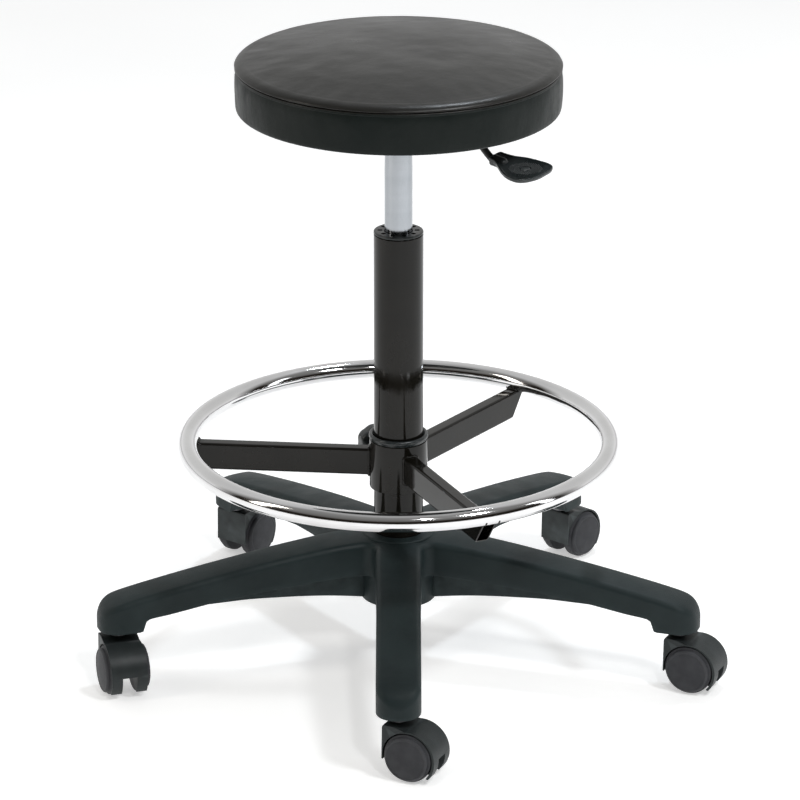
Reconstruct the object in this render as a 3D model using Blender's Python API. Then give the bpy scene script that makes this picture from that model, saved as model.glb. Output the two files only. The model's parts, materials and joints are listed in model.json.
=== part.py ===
"""Adjustable swivel stool: five-star base on casters, gas lift, foot ring and round padded seat.

Metres, +Z up. The origin is on the floor, in the middle of the stool's footprint. The column axis
stands a little off the origin, because the five legs and their casters aren't symmetric about it.
Pieces are drawn about the column axis and moved to their place by place_mesh.
"""

import math

import bmesh
import bpy
from mathutils import Matrix, Vector

# ---------------------------------------------------------------- driving dimensions
AXIS_X = -0.0126            # the column axis, seen from the middle of the footprint
AXIS_Y = 0.0232
DATUM_Z = -0.0025           # the heights below are measured from this level, just under the floor
GAP = 0.0003                # clearance between pieces that touch

LEG_COUNT = 5
LEG_START = -90.0           # azimuth of the first leg, degrees
CASTER_RADIUS = 0.2982      # column axis to caster stem
LEG_HALF_WIDTH = 0.0222
SOCKET_BOTTOM = 0.065       # underside of the leg ends
HUB_BOTTOM = 0.062
HUB_TOP = 0.1345
HUB_RADIUS = 0.0385

COLUMN_RADIUS = 0.025
COLUMN_WALL = 0.0018
COLUMN_BOTTOM = 0.066
COLUMN_TOP = 0.4534
BUSH_BOTTOM = 0.376
BUSH_FLANGE = 0.0028
BUSH_POCKETS = 10
BUSH_POCKET_RADIUS = 0.0193

ROD_RADIUS = 0.005
CYLINDER_RADIUS = 0.014
CYLINDER_BOTTOM = 0.225
CONE_BOTTOM = 0.523
CONE_TOP = 0.563
CONE_TIP_RADIUS = 0.0131

SEAT_RADIUS = 0.162
SEAT_BOTTOM = 0.585
SEAT_SEAM = 0.6277
SEAT_TOP = 0.646
COVER_THICKNESS = 0.002
WRAP_THICKNESS = 0.0012
WRAP_INNER_RADIUS = 0.127
BOARD_THICKNESS = 0.012
CUSHION_SIDES = 36

PLATE_HALF = 0.0825
PLATE_THICKNESS = 0.0025
PAN_HALF = 0.042
PAN_BOTTOM = 0.551
PAN_TOP_CORNER = 0.010
PAN_FLOOR_CORNER = 0.014
BOLT_OFFSET = 0.060
BOLT_RADIUS = 0.003

LEVER_AZIMUTH = -36.0
LEVER_RADIUS = 0.0036
LEVER_HEIGHT = 0.5735
LEVER_PIVOT = 0.030         # column axis to the lever's pivot
LEVER_BEND = 0.090          # where the rod turns down
LEVER_SLOPE = 43.5          # degrees below level
PADDLE_START = 0.1125       # where the rod levels out again, at the paddle's boss
PADDLE_SLOPE = 8.0
PADDLE_ROLL = 5.0
PADDLE_BOSS_RADIUS = 0.0058
PADDLE_BOSS_LENGTH = 0.0165
PADDLE_ROD_DEPTH = 0.0125   # how far the rod goes into the boss
PADDLE_THICKNESS = 0.004

RING_RADIUS = 0.2143
RING_TUBE = 0.0098
RING_HEIGHT = 0.2297
SPOKE_AZIMUTHS = (174.5, 54.5, -65.5)
SPOKE_TOP = 0.2233
SPOKE_BOTTOM = 0.1948
SPOKE_HALF_WIDTH = 0.00725
SPOKE_WALL = 0.0018
SPOKE_TOP_END = 0.217
SPOKE_BOTTOM_END = 0.196
SLEEVE_RADIUS = 0.0296
SLEEVE_BORE = 0.0269
SLEEVE_BOTTOM = 0.183
SLEEVE_TOP = 0.2342
KNOB_AZIMUTH = 114.5
KNOB_HEIGHT = 0.209
KNOB_RADIUS = 0.0175
KNOB_START = 0.050
KNOB_LENGTH = 0.018
SCREW_RADIUS = 0.004

WHEEL_RADIUS = 0.025
WHEEL_SIDES = 20
WHEEL_HEIGHT = WHEEL_RADIUS - DATUM_Z
WHEEL_INNER = 0.0094        # middle of the caster to the wheel's inner face
WHEEL_WIDTH = 0.0147
WHEEL_TREAD_WIDTH = 0.0093
CASTER_TRAIL = 0.0175       # stem axis to axle
CASTER_YAWS = (-25.0, -25.0, 49.0, 55.0, -72.0)
HOOD_HALF_WIDTH = 0.0185
HOOD_TOP = 0.056
HOOD_FRONT = -0.0098
HOOD_FRONT_LOW = 0.0225
HOOD_ARC = 0.028
HOOD_WEB = 0.0088
HOOD_POCKET = 0.0263
STEM_RADIUS = 0.0055
AXLE_RADIUS = 0.003


# ---------------------------------------------------------------- materials
def material(name, colour, roughness, metallic=0.0):
    """A Principled material with one colour."""
    made = bpy.data.materials.new(name)
    made.use_nodes = True
    shader = made.node_tree.nodes["Principled BSDF"]
    shader.inputs["Base Color"].default_value = (*colour, 1.0)
    shader.inputs["Roughness"].default_value = roughness
    shader.inputs["Metallic"].default_value = metallic
    return made


# ---------------------------------------------------------------- mesh tools
def place(name, bm, finish, location=(0.0, 0.0, 0.0), yaw=0.0, smooth=True):
    """Turn a closed bmesh into an object at a place given from the column axis."""
    bmesh.ops.remove_doubles(bm, verts=bm.verts, dist=1e-6)
    bmesh.ops.recalc_face_normals(bm, faces=bm.faces)
    mesh = bpy.data.meshes.new(name)
    bm.to_mesh(mesh)
    bm.free()
    mesh.materials.append(finish)
    return place_mesh(name, mesh, location, yaw, smooth)


def place_mesh(name, mesh, location=(0.0, 0.0, 0.0), yaw=0.0, smooth=True):
    """Put an object that uses this mesh at a place given from the column axis."""
    if smooth:
        mesh.shade_smooth()
        mesh.set_sharp_from_angle(angle=math.radians(35.0))
    made = bpy.data.objects.new(name, mesh)
    made.location = Vector((AXIS_X, AXIS_Y, DATUM_Z)) + Vector(location)
    made.rotation_euler = (0.0, 0.0, math.radians(yaw))
    bpy.context.scene.collection.objects.link(made)
    return made


def turned(outline, sides, closed=False, phase=0.0):
    """Spin a (radius, height) outline round Z. An open outline starts and ends on the axis."""
    bm = bmesh.new()
    verts = [bm.verts.new((radius, 0.0, height)) for radius, height in outline]
    edges = [bm.edges.new(pair) for pair in zip(verts, verts[1:])]
    if closed:
        edges.append(bm.edges.new((verts[-1], verts[0])))
    bmesh.ops.rotate(bm, verts=bm.verts, matrix=Matrix.Rotation(phase, 3, "Z"))
    bmesh.ops.spin(bm, geom=verts + edges, axis=(0.0, 0.0, 1.0), cent=(0.0, 0.0, 0.0),
                   angle=2.0 * math.pi, steps=sides, use_merge=True)
    bmesh.ops.remove_doubles(bm, verts=bm.verts, dist=1e-6)
    bmesh.ops.dissolve_degenerate(bm, edges=bm.edges, dist=1e-7)
    bmesh.ops.recalc_face_normals(bm, faces=bm.faces)
    return bm


def lofted(loops, capped=True, ring=False):
    """Skin over loops that all have the same number of points."""
    bm = bmesh.new()
    rows = [[bm.verts.new(point) for point in loop] for loop in loops]
    pairs = list(zip(rows, rows[1:]))
    if ring:
        pairs.append((rows[-1], rows[0]))
    for low, high in pairs:
        for i in range(len(low)):
            j = (i + 1) % len(low)
            bm.faces.new((low[i], low[j], high[j], high[i]))
    if capped:
        bm.faces.new(rows[0][::-1])
        bm.faces.new(rows[-1])
    bmesh.ops.recalc_face_normals(bm, faces=bm.faces)
    return bm


def prism(outline, low, high):
    """Extrude an (x, z) outline along Y, from low to high."""
    bm = bmesh.new()
    face = bm.faces.new([bm.verts.new((x, low, z)) for x, z in outline])
    grown = bmesh.ops.extrude_face_region(bm, geom=[face])
    far_side = [item for item in grown["geom"] if isinstance(item, bmesh.types.BMVert)]
    bmesh.ops.translate(bm, verts=far_side, vec=(0.0, high - low, 0.0))
    bmesh.ops.recalc_face_normals(bm, faces=bm.faces)
    return bm


def rod(radius, length, sides=16):
    """A cylinder that stands on Z = 0."""
    bm = bmesh.new()
    bmesh.ops.create_cone(bm, cap_ends=True, segments=sides, radius1=radius, radius2=radius,
                          depth=length, matrix=Matrix.Translation((0.0, 0.0, length / 2.0)))
    return bm


def block(size, centre):
    """A box of the given size."""
    bm = bmesh.new()
    bmesh.ops.create_cube(bm, size=1.0, matrix=Matrix.Translation(centre) @ Matrix.Diagonal((*size, 1.0)))
    return bm


def moved(bm, matrix):
    """The same mesh, moved by a matrix."""
    bmesh.ops.transform(bm, matrix=matrix, verts=bm.verts)
    return bm


def lying(azimuth, radius, height):
    """Matrix that lays a Z-up shape down, pointing away from the column axis."""
    turn = Matrix.Rotation(math.radians(azimuth), 4, "Z")
    return turn @ Matrix.Translation((radius, 0.0, height)) @ Matrix.Rotation(math.pi / 2.0, 4, "Y")


def combined(base, others, operation, solver="EXACT"):
    """Boolean of closed bmeshes."""
    objects = []
    for bm in [base] + others:
        mesh = bpy.data.meshes.new("boolean_input")
        bm.to_mesh(mesh)
        bm.free()
        objects.append(bpy.data.objects.new("boolean_input", mesh))
        bpy.context.scene.collection.objects.link(objects[-1])
    target = objects[0]
    for tool in objects[1:]:
        step = target.modifiers.new("boolean", "BOOLEAN")
        step.operation = operation
        step.solver = solver
        step.object = tool
    bpy.context.view_layer.update()
    evaluated = target.evaluated_get(bpy.context.evaluated_depsgraph_get())
    result = bmesh.new()
    result.from_mesh(evaluated.to_mesh())
    evaluated.to_mesh_clear()
    for item in objects:
        bpy.data.objects.remove(item)
    bmesh.ops.remove_doubles(result, verts=result.verts, dist=2e-5)
    bmesh.ops.dissolve_degenerate(result, edges=result.edges, dist=1e-5)
    bmesh.ops.triangulate(result, faces=[face for face in result.faces if len(face.verts) > 4])
    return result


def rounded_square(half, corner, height, per_corner=3):
    """Points round a square with round corners."""
    points = []
    for quarter in range(4):
        turn = quarter * math.pi / 2.0
        middle = Vector((half - corner, half - corner))
        middle.rotate(Matrix.Rotation(turn, 2))
        for step in range(per_corner + 1):
            angle = turn + step / per_corner * math.pi / 2.0
            points.append((middle.x + corner * math.cos(angle), middle.y + corner * math.sin(angle), height))
    return points


def circle_loop(radius, height, count=16):
    """Points round a circle, as many as a rounded square has and in step with them."""
    step = 2.0 * math.pi / count
    angles = [(k + 0.5) * step for k in range(count)]
    return [(radius * math.cos(angle), radius * math.sin(angle), height) for angle in angles]


def direction(azimuth):
    """Level unit vector at an azimuth in degrees."""
    return Vector((math.cos(math.radians(azimuth)), math.sin(math.radians(azimuth)), 0.0))


# ---------------------------------------------------------------- star base
def between(stations, radius):
    """Read a height off (radius, height) stations, with straight runs between them."""
    for (r0, z0), (r1, z1) in zip(stations, stations[1:]):
        if radius <= r1:
            return z0 + (z1 - z0) * (radius - r0) / (r1 - r0)
    return stations[-1][1]


# Heights along a leg: the shoulder of its top, the foot of its side walls, the foot of its middle rib.
LEG_SHOULDER = ((0.0, 0.1325), (0.057, 0.1315), (0.107, 0.1270), (0.190, 0.1156), (0.255, 0.1048),
                (0.283, 0.0995), (0.299, 0.0955), (0.3095, 0.0905), (0.316, 0.0835), (0.3195, 0.0735))
LEG_WALL_FOOT = ((0.0, 0.094), (0.061, 0.0975), (0.129, 0.0940), (0.194, 0.0885), (0.258, 0.0795),
                 (0.280, 0.0772), (0.285, 0.0718), (0.288, SOCKET_BOTTOM), (0.330, SOCKET_BOTTOM))
LEG_RIB_FOOT = ((0.0, HUB_BOTTOM + 0.0005), (0.030, 0.0640), (0.082, 0.0710), (0.125, 0.0750),
                (0.170, 0.0775), (0.225, 0.0775), (0.262, 0.0785))
LEG_SIDE_CUTS = (0.0265, 0.057, 0.107, 0.190, 0.258)
LEG_END_CUTS = (0.268, 0.280, 0.288, 0.299, 0.310, 0.3195)
LEG_WALL = 0.0035
RIB_HALF = 0.0028
ROOF_THICKNESS = 0.0045
LEG_CROWN = 0.0015
LEG_CORNER = 0.006


def leg_half_width(radius):
    """Half the leg's width: a little wider at the hub, round at the outer end."""
    end_corner = 0.013
    width = LEG_HALF_WIDTH + 0.002 * max(0.0, 1.0 - radius / 0.15)
    into_end = radius - (0.3205 - end_corner)
    if into_end > 0.0:
        width -= end_corner - math.sqrt(max(0.0, end_corner ** 2 - into_end ** 2))
    return width


def leg_section(radius, hollow):
    """One section of a leg: the outside from foot to foot, then the two channels and the rib."""
    half = leg_half_width(radius)
    top = between(LEG_SHOULDER, radius)
    foot = between(LEG_WALL_FOOT, radius)
    corner = min(LEG_CORNER, half * 0.5)
    soft = corner * 0.3
    outside = [(-half, foot), (-half, top - corner), (soft - half, top - soft), (corner - half, top),
               (0.0, top + LEG_CROWN)]
    outside += [(-y, z) for y, z in outside[3::-1]]
    inner = half - LEG_WALL
    roof = top - ROOF_THICKNESS if hollow else foot
    rib_foot = between(LEG_RIB_FOOT, radius) if hollow else foot
    inside = [(inner, foot), (inner - 0.0005, roof), (RIB_HALF, roof), (RIB_HALF, rib_foot)]
    inside += [(-y, z) for y, z in inside[::-1]]
    return [(radius, y, z) for y, z in outside + inside]


def star_leg(azimuth):
    """A closed leg, hollow below, with a middle rib and a solid socket block at its end."""
    loops = [leg_section(radius, True) for radius in LEG_SIDE_CUTS]
    loops += [leg_section(radius, False) for radius in LEG_END_CUTS]
    return moved(lofted(loops), Matrix.Rotation(math.radians(azimuth), 4, "Z"))


def star_base(finish):
    """The moulded base: hub and legs joined, bored for the column and the caster stems."""
    lip = 0.002
    hub = turned([(0.0, HUB_BOTTOM), (HUB_RADIUS - lip, HUB_BOTTOM), (HUB_RADIUS, HUB_BOTTOM + lip),
                  (HUB_RADIUS, HUB_TOP - lip), (HUB_RADIUS - lip, HUB_TOP), (0.0, HUB_TOP)], 40)
    azimuths = [LEG_START + 360.0 / LEG_COUNT * k for k in range(LEG_COUNT)]
    joined = combined(hub, [star_leg(azimuth) for azimuth in azimuths], "UNION", "MANIFOLD")
    bores = [moved(rod(COLUMN_RADIUS + GAP, 0.1, 32), Matrix.Translation((0.0, 0.0, 0.05)))]
    for azimuth in azimuths:
        place_at = direction(azimuth) * CASTER_RADIUS + Vector((0.0, 0.0, SOCKET_BOTTOM - 0.005))
        bores.append(moved(rod(STEM_RADIUS + GAP, 0.029, 12), Matrix.Translation(place_at)))
    place("star_base", combined(joined, bores, "DIFFERENCE", "MANIFOLD"), finish)


# ---------------------------------------------------------------- column and gas lift
def column_tube(finish):
    """The outer tube, with a floor that the piston rod passes through."""
    inner = COLUMN_RADIUS - COLUMN_WALL
    floor_top = COLUMN_BOTTOM + 0.003
    hole = ROD_RADIUS + 0.001
    outline = [(hole, COLUMN_BOTTOM), (COLUMN_RADIUS, COLUMN_BOTTOM), (COLUMN_RADIUS, COLUMN_TOP),
               (inner, COLUMN_TOP), (inner, floor_top), (hole, floor_top)]
    place("column_tube", turned(outline, 32, closed=True), finish)


def guide_bush(finish):
    """The plastic guide in the top of the tube, with pockets in its flange."""
    bore = CYLINDER_RADIUS + GAP
    body = COLUMN_RADIUS - COLUMN_WALL - GAP
    flange = COLUMN_TOP + GAP
    top = flange + BUSH_FLANGE
    edge = 0.0006
    outline = [(bore, BUSH_BOTTOM), (body, BUSH_BOTTOM), (body, flange), (COLUMN_RADIUS, flange),
               (COLUMN_RADIUS, top - edge), (COLUMN_RADIUS - edge, top), (bore + edge, top),
               (bore, top - edge)]
    pocket = (0.003, 0.0036, 0.005)
    pockets = []
    for k in range(BUSH_POCKETS):
        turn = Matrix.Rotation(2.0 * math.pi * k / BUSH_POCKETS, 4, "Z")
        pockets.append(moved(block(pocket, (BUSH_POCKET_RADIUS, 0.0, top)), turn))
    place("guide_bush", combined(turned(outline, 24, closed=True), pockets, "DIFFERENCE"), finish)


def washer(name, inner, outer, low, high, finish, sides=16):
    """A flat ring."""
    outline = [(inner, low), (outer, low), (outer, high), (inner, high)]
    place(name, turned(outline, sides, closed=True), finish)


def thrust_parts(steel, rubber):
    """The thrust bearing on the tube's floor, and the bumper above it."""
    hole = ROD_RADIUS + 0.0005
    level = COLUMN_BOTTOM + 0.003 + GAP
    washer("lower_thrust_washer", hole, 0.014, level, level + 0.002, steel)
    level += 0.002 + GAP
    washer("thrust_ball_cage", hole, 0.0135, level, level + 0.0035, steel)
    level += 0.0035 + GAP
    washer("upper_thrust_washer", hole, 0.014, level, level + 0.002, steel)
    level += 0.002 + GAP
    washer("bumper", hole, 0.017, level, level + 0.014, rubber)


def piston_rod(finish):
    """The rod that stands on the thrust bearing, with the piston on its top end."""
    low = COLUMN_BOTTOM - 0.005
    groove_low = low + 0.0021
    groove_high = COLUMN_BOTTOM - 0.0001
    groove = ROD_RADIUS - 0.001
    piston_low = 0.375
    piston_high = 0.387
    piston = 0.0112
    outline = [(0.0, low), (ROD_RADIUS, low), (ROD_RADIUS, groove_low), (groove, groove_low),
               (groove, groove_high), (ROD_RADIUS, groove_high), (ROD_RADIUS, piston_low),
               (piston, piston_low), (piston, piston_high), (0.0, piston_high)]
    place("piston_rod", turned(outline, 16), finish)


def rod_clip(finish):
    """The open ring in the rod's groove, under the tube's floor."""
    inner = ROD_RADIUS - 0.001 + GAP
    outer = 0.009
    low = COLUMN_BOTTOM - 0.0026
    high = COLUMN_BOTTOM - GAP
    loops = []
    for step in range(11):
        radial = direction(30.0 * step + 30.0)
        loops.append([radial * inner + Vector((0, 0, low)), radial * outer + Vector((0, 0, low)),
                      radial * outer + Vector((0, 0, high)), radial * inner + Vector((0, 0, high))])
    place("rod_clip", lofted(loops), finish)


def cone_radius(height):
    """Radius of the cylinder's tapered top at a height."""
    share = (height - CONE_BOTTOM) / (CONE_TOP - CONE_BOTTOM)
    return CYLINDER_RADIUS + (CONE_TIP_RADIUS - CYLINDER_RADIUS) * share


def gas_cylinder(finish):
    """The sliding cylinder, open round the rod below and bored for the release pin above."""
    bore = 0.0117
    floor_top = CYLINDER_BOTTOM + 0.020
    ceiling = CONE_BOTTOM - 0.005
    rod_hole = ROD_RADIUS + GAP
    pin_hole = 0.0043
    edge = 0.0005
    outline = [(0.0, ceiling), (bore, ceiling), (bore, floor_top), (rod_hole, floor_top),
               (rod_hole, CYLINDER_BOTTOM), (CYLINDER_RADIUS, CYLINDER_BOTTOM),
               (CYLINDER_RADIUS, CONE_BOTTOM), (cone_radius(CONE_TOP), CONE_TOP - edge),
               (cone_radius(CONE_TOP) - edge, CONE_TOP), (pin_hole, CONE_TOP),
               (pin_hole, CONE_TOP - 0.018), (0.0, CONE_TOP - 0.018)]
    place("gas_cylinder", turned(outline, 20), finish)


def release_pin(finish):
    """The button in the top of the cylinder, just under the lever."""
    low = CONE_TOP - 0.0135
    high = LEVER_HEIGHT - LEVER_RADIUS - GAP
    place("release_pin", moved(rod(0.004, high - low, 12), Matrix.Translation((0.0, 0.0, low))), finish)


# ---------------------------------------------------------------- seat
def taper_socket(finish):
    """The tapered tube that grips the top of the cylinder."""
    low = CONE_BOTTOM + 0.018
    high = CONE_TOP - 0.004
    outer = 0.0175
    outline = [(cone_radius(low) + GAP, low), (outer, low), (outer, high), (cone_radius(high) + GAP, high)]
    place("taper_socket", turned(outline, 24, closed=True), finish)


def bolt_places():
    """The four bolt centres, turned with the seat plate."""
    turn = Matrix.Rotation(math.radians(LEVER_AZIMUTH), 3, "Z")
    corners = ((1, 1), (-1, 1), (-1, -1), (1, -1))
    return [turn @ Vector((x * BOLT_OFFSET, y * BOLT_OFFSET, 0.0)) for x, y in corners]


def bolt_drills(low, high):
    """Cutters for the four bolt holes."""
    drill = BOLT_RADIUS + 0.0006
    shift = Vector((0.0, 0.0, low))
    return [moved(rod(drill, high - low, 8), Matrix.Translation(spot + shift)) for spot in bolt_places()]


def seat_plate(finish):
    """The pressed steel pan: a flange under the board and a well that holds the lever's inner end."""
    flange_top = SEAT_BOTTOM - GAP
    flange_low = flange_top - PLATE_THICKNESS
    draft = 0.0025
    wall = PLATE_THICKNESS
    floor_top = PAN_BOTTOM + PLATE_THICKNESS
    loops = [rounded_square(PLATE_HALF, 0.012, flange_low), rounded_square(PLATE_HALF, 0.012, flange_top),
             rounded_square(PAN_HALF - wall, 0.008, flange_top),
             rounded_square(PAN_HALF - wall - draft, PAN_FLOOR_CORNER - wall, floor_top),
             circle_loop(0.0182, floor_top), circle_loop(0.0182, PAN_BOTTOM),
             rounded_square(PAN_HALF - draft, PAN_FLOOR_CORNER, PAN_BOTTOM),
             rounded_square(PAN_HALF, PAN_TOP_CORNER, flange_low)]
    plate = moved(lofted(loops, capped=False, ring=True), Matrix.Rotation(math.radians(LEVER_AZIMUTH), 4, "Z"))
    slot = block((0.012, 0.0095, 0.0155), (PAN_HALF - wall / 2.0, 0.0, LEVER_HEIGHT - 0.0002))
    slot = moved(slot, Matrix.Rotation(math.radians(LEVER_AZIMUTH), 4, "Z"))
    drills = bolt_drills(flange_low - 0.002, flange_top + 0.002)
    place("seat_plate", combined(plate, [slot] + drills, "DIFFERENCE"), finish)


def seat_bolts(finish):
    """Four hexagon bolts, up through the plate into the board."""
    head_high = SEAT_BOTTOM - PLATE_THICKNESS - 2.0 * GAP
    head_low = head_high - 0.0045
    top = SEAT_BOTTOM + 0.010
    head_radius = 0.0062
    for number, spot in enumerate(bolt_places(), start=1):
        levels = ((head_radius, head_low), (head_radius, head_high), (BOLT_RADIUS, head_high), (BOLT_RADIUS, top))
        loops = [[direction(60.0 * side) * radius + Vector((0.0, 0.0, height)) for side in range(6)]
                 for radius, height in levels]
        place(f"seat_bolt_{number}", lofted(loops), finish, (spot.x, spot.y, 0.0), LEVER_AZIMUTH, smooth=False)


def dust_cover(finish):
    """The thin disc that closes the underside inside the wrapped edge of the cover."""
    low = SEAT_BOTTOM
    high = SEAT_BOTTOM + WRAP_THICKNESS
    radius = WRAP_INNER_RADIUS - 2.0 * GAP
    disc = turned([(0.0, low), (radius, low), (radius, high), (0.0, high)], 24)
    place("dust_cover", combined(disc, bolt_drills(low - 0.002, high + 0.002), "DIFFERENCE"), finish)


def seat_board(finish):
    """The plywood disc under the foam."""
    low = SEAT_BOTTOM + WRAP_THICKNESS + GAP
    high = low + BOARD_THICKNESS
    radius = 0.1555
    disc = turned([(0.0, low), (radius - 0.003, low), (radius, low + 0.0025), (radius, high), (0.0, high)], 24)
    place("seat_board", combined(disc, bolt_drills(low - 0.002, high + 0.002), "DIFFERENCE"), finish)


def crown(radius):
    """Height of the seat's top at a radius: flat in the middle, falling to the edge."""
    flat = 0.025
    edge = 0.1555
    share = max(0.0, (radius - flat) / (edge - flat))
    return SEAT_TOP - 0.0147 * share ** 2.2


def cushion_profile(inset):
    """Outside of the cushion from its lower edge to the top centre, moved in by an inset."""
    side = SEAT_RADIUS - inset
    low = SEAT_BOTTOM + inset
    points = [(side - 0.0035, low + 0.0013), (side - 0.0012, low + 0.005), (side, 0.603), (side - 0.0004, 0.619),
              (side - 0.0013, SEAT_SEAM - inset * 0.4), (side - 0.0027, 0.6299 - inset * 0.8)]
    points += [(radius, crown(radius) - inset) for radius in (0.1555 - inset, 0.142, 0.110, 0.070, 0.025)]
    return points + [(0.0, SEAT_TOP - inset)]


def seat_cover(finish):
    """The vinyl cover, wrapped round the foam and under the board's edge."""
    outer = [(WRAP_INNER_RADIUS, SEAT_BOTTOM), (0.154, SEAT_BOTTOM)] + cushion_profile(0.0)
    inner = cushion_profile(COVER_THICKNESS)[::-1]
    inner[-1] = (SEAT_RADIUS - 0.0052, SEAT_BOTTOM + 0.0026)
    inner += [(0.153, SEAT_BOTTOM + WRAP_THICKNESS), (WRAP_INNER_RADIUS, SEAT_BOTTOM + WRAP_THICKNESS)]
    outline = inner + outer
    place("seat_cover", turned(outline, CUSHION_SIDES), finish)


def seat_foam(finish):
    """The foam block on the board."""
    low = SEAT_BOTTOM + WRAP_THICKNESS + BOARD_THICKNESS + 2.0 * GAP
    outer = [(0.0, low), (SEAT_RADIUS - COVER_THICKNESS - 0.0009, low)]
    outline = outer + cushion_profile(COVER_THICKNESS + 0.0005)[3:]
    place("seat_foam", turned(outline, CUSHION_SIDES), finish)


# ---------------------------------------------------------------- lever
def place_on_pivot(name, bm, finish):
    """Place a shape drawn in the lever's own plane, with its origin on the pivot."""
    on_pivot = moved(bm, Matrix.Translation((-LEVER_PIVOT, 0.0, -LEVER_HEIGHT)))
    location = direction(LEVER_AZIMUTH) * LEVER_PIVOT + Vector((0.0, 0.0, LEVER_HEIGHT))
    place(name, on_pivot, finish, location, LEVER_AZIMUTH)


def paddle_height():
    """Height of the rod's centre where it enters the paddle's boss."""
    return LEVER_HEIGHT - (PADDLE_START - LEVER_BEND) * math.tan(math.radians(LEVER_SLOPE))


def lever_path():
    """Centre line of the rod: level, down, then level with the paddle, with a bend at each turn."""
    bend = 0.006
    turn_in = 0.28
    down = math.tan(math.radians(LEVER_SLOPE))
    out = math.tan(math.radians(PADDLE_SLOPE))
    low = paddle_height()
    reach = PADDLE_ROD_DEPTH * math.cos(math.radians(PADDLE_SLOPE))
    return [(-0.006, LEVER_HEIGHT), (LEVER_BEND - bend, LEVER_HEIGHT),
            (LEVER_BEND, LEVER_HEIGHT - bend * turn_in * down),
            (LEVER_BEND + bend, LEVER_HEIGHT - bend * down),
            (PADDLE_START - bend, low + bend * down), (PADDLE_START - bend * turn_in, low + bend * turn_in * down),
            (PADDLE_START, low), (PADDLE_START + reach, low - reach * out)]


def lever_rod(finish):
    """The bent rod: level over the release pin, through the pan's slot, then down to the paddle."""
    path = lever_path()
    sides = 10
    pivot_hole = 0.0023
    loops = []
    for index, (along, height) in enumerate(path):
        before = path[max(0, index - 1)]
        after = path[min(len(path) - 1, index + 1)]
        if index == len(path) - 2:
            before = path[index]
        tilt = math.atan2(after[1] - before[1], after[0] - before[0])
        across = Vector((0.0, 1.0, 0.0))
        upward = Vector((-math.sin(tilt), 0.0, math.cos(tilt)))
        middle = Vector((along, 0.0, height))
        angles = [2.0 * math.pi * (k + 0.5) / sides for k in range(sides)]
        loops.append([middle + LEVER_RADIUS * (across * math.cos(a) + upward * math.sin(a)) for a in angles])
    pin = moved(rod(pivot_hole, 0.02, 10), Matrix.Rotation(math.pi / 2.0, 4, "X"))
    pin = moved(pin, Matrix.Translation((LEVER_PIVOT, 0.01, LEVER_HEIGHT)))
    place_on_pivot("lever_rod", combined(lofted(loops), [pin], "DIFFERENCE"), finish)


def lever_pivot_pin(finish):
    """The pin that the lever rocks on, from wall to wall of the pan."""
    length = 2.0 * (PAN_HALF - PLATE_THICKNESS - 0.0022)
    pin = moved(rod(0.002, length, 10), Matrix.Rotation(math.pi / 2.0, 4, "X"))
    pin = moved(pin, Matrix.Translation((LEVER_PIVOT, length / 2.0, LEVER_HEIGHT)))
    place_on_pivot("lever_pivot_pin", pin, finish)


# Stations along the paddle: distance from the boss, then the near and the far edge beside its middle.
PADDLE_EDGES = ((0.0015, -0.0068, 0.0112), (0.006, -0.0074, 0.0130), (0.011, -0.0088, 0.0152),
                (0.018, -0.0140, 0.0190), (0.025, -0.0192, 0.0226), (0.033, -0.0233, 0.0250),
                (0.041, -0.0246, 0.0264), (0.048, -0.0230, 0.0272), (0.0535, -0.0172, 0.0262),
                (0.0570, -0.0090, 0.0226), (0.0588, -0.0010, 0.0165))


def paddle_frame():
    """Matrix of the paddle: X along it, Y across it, the origin where the rod enters the boss."""
    slope = Matrix.Rotation(math.radians(PADDLE_SLOPE), 4, "Y")
    roll = Matrix.Rotation(math.radians(PADDLE_ROLL), 4, "X")
    return Matrix.Translation((PADDLE_START, 0.0, paddle_height())) @ slope @ roll


def lever_paddle(finish):
    """The hand plate, a fan with one straighter side, and the boss under it that takes the rod."""
    plate_top = 0.0026
    dish = 0.0005
    taper = 0.94
    loops = []
    for along, near, far in PADDLE_EDGES:
        middle = (near + far) / 2.0
        low = plate_top - PADDLE_THICKNESS
        loops.append([(along, near, plate_top), (along, (near + middle) / 2.0, plate_top - dish),
                      (along, (far + middle) / 2.0, plate_top - dish), (along, far, plate_top),
                      (along, middle + (far - middle) * taper, low), (along, middle + (near - middle) * taper, low)])
    quarter = Matrix.Rotation(math.pi / 2.0, 4, "Y")
    boss = moved(rod(PADDLE_BOSS_RADIUS, PADDLE_BOSS_LENGTH, 14), Matrix.Translation((0.001, 0.0, 0.0)) @ quarter)
    bore = moved(rod(LEVER_RADIUS + GAP, PADDLE_ROD_DEPTH + 0.0045, 12),
                 Matrix.Translation((-0.004, 0.0, 0.0)) @ quarter)
    solid = combined(combined(lofted(loops), [boss], "UNION"), [bore], "DIFFERENCE")
    place_on_pivot("lever_paddle", moved(solid, paddle_frame()), finish)


# ---------------------------------------------------------------- foot ring
def foot_ring(finish):
    """The bent tube of the ring."""
    sides = 8
    outline = []
    for k in range(sides):
        angle = 2.0 * math.pi * k / sides
        outline.append((RING_RADIUS + RING_TUBE * math.cos(angle), RING_HEIGHT + RING_TUBE * math.sin(angle)))
    place("foot_ring", turned(outline, 48, closed=True), finish)


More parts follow.
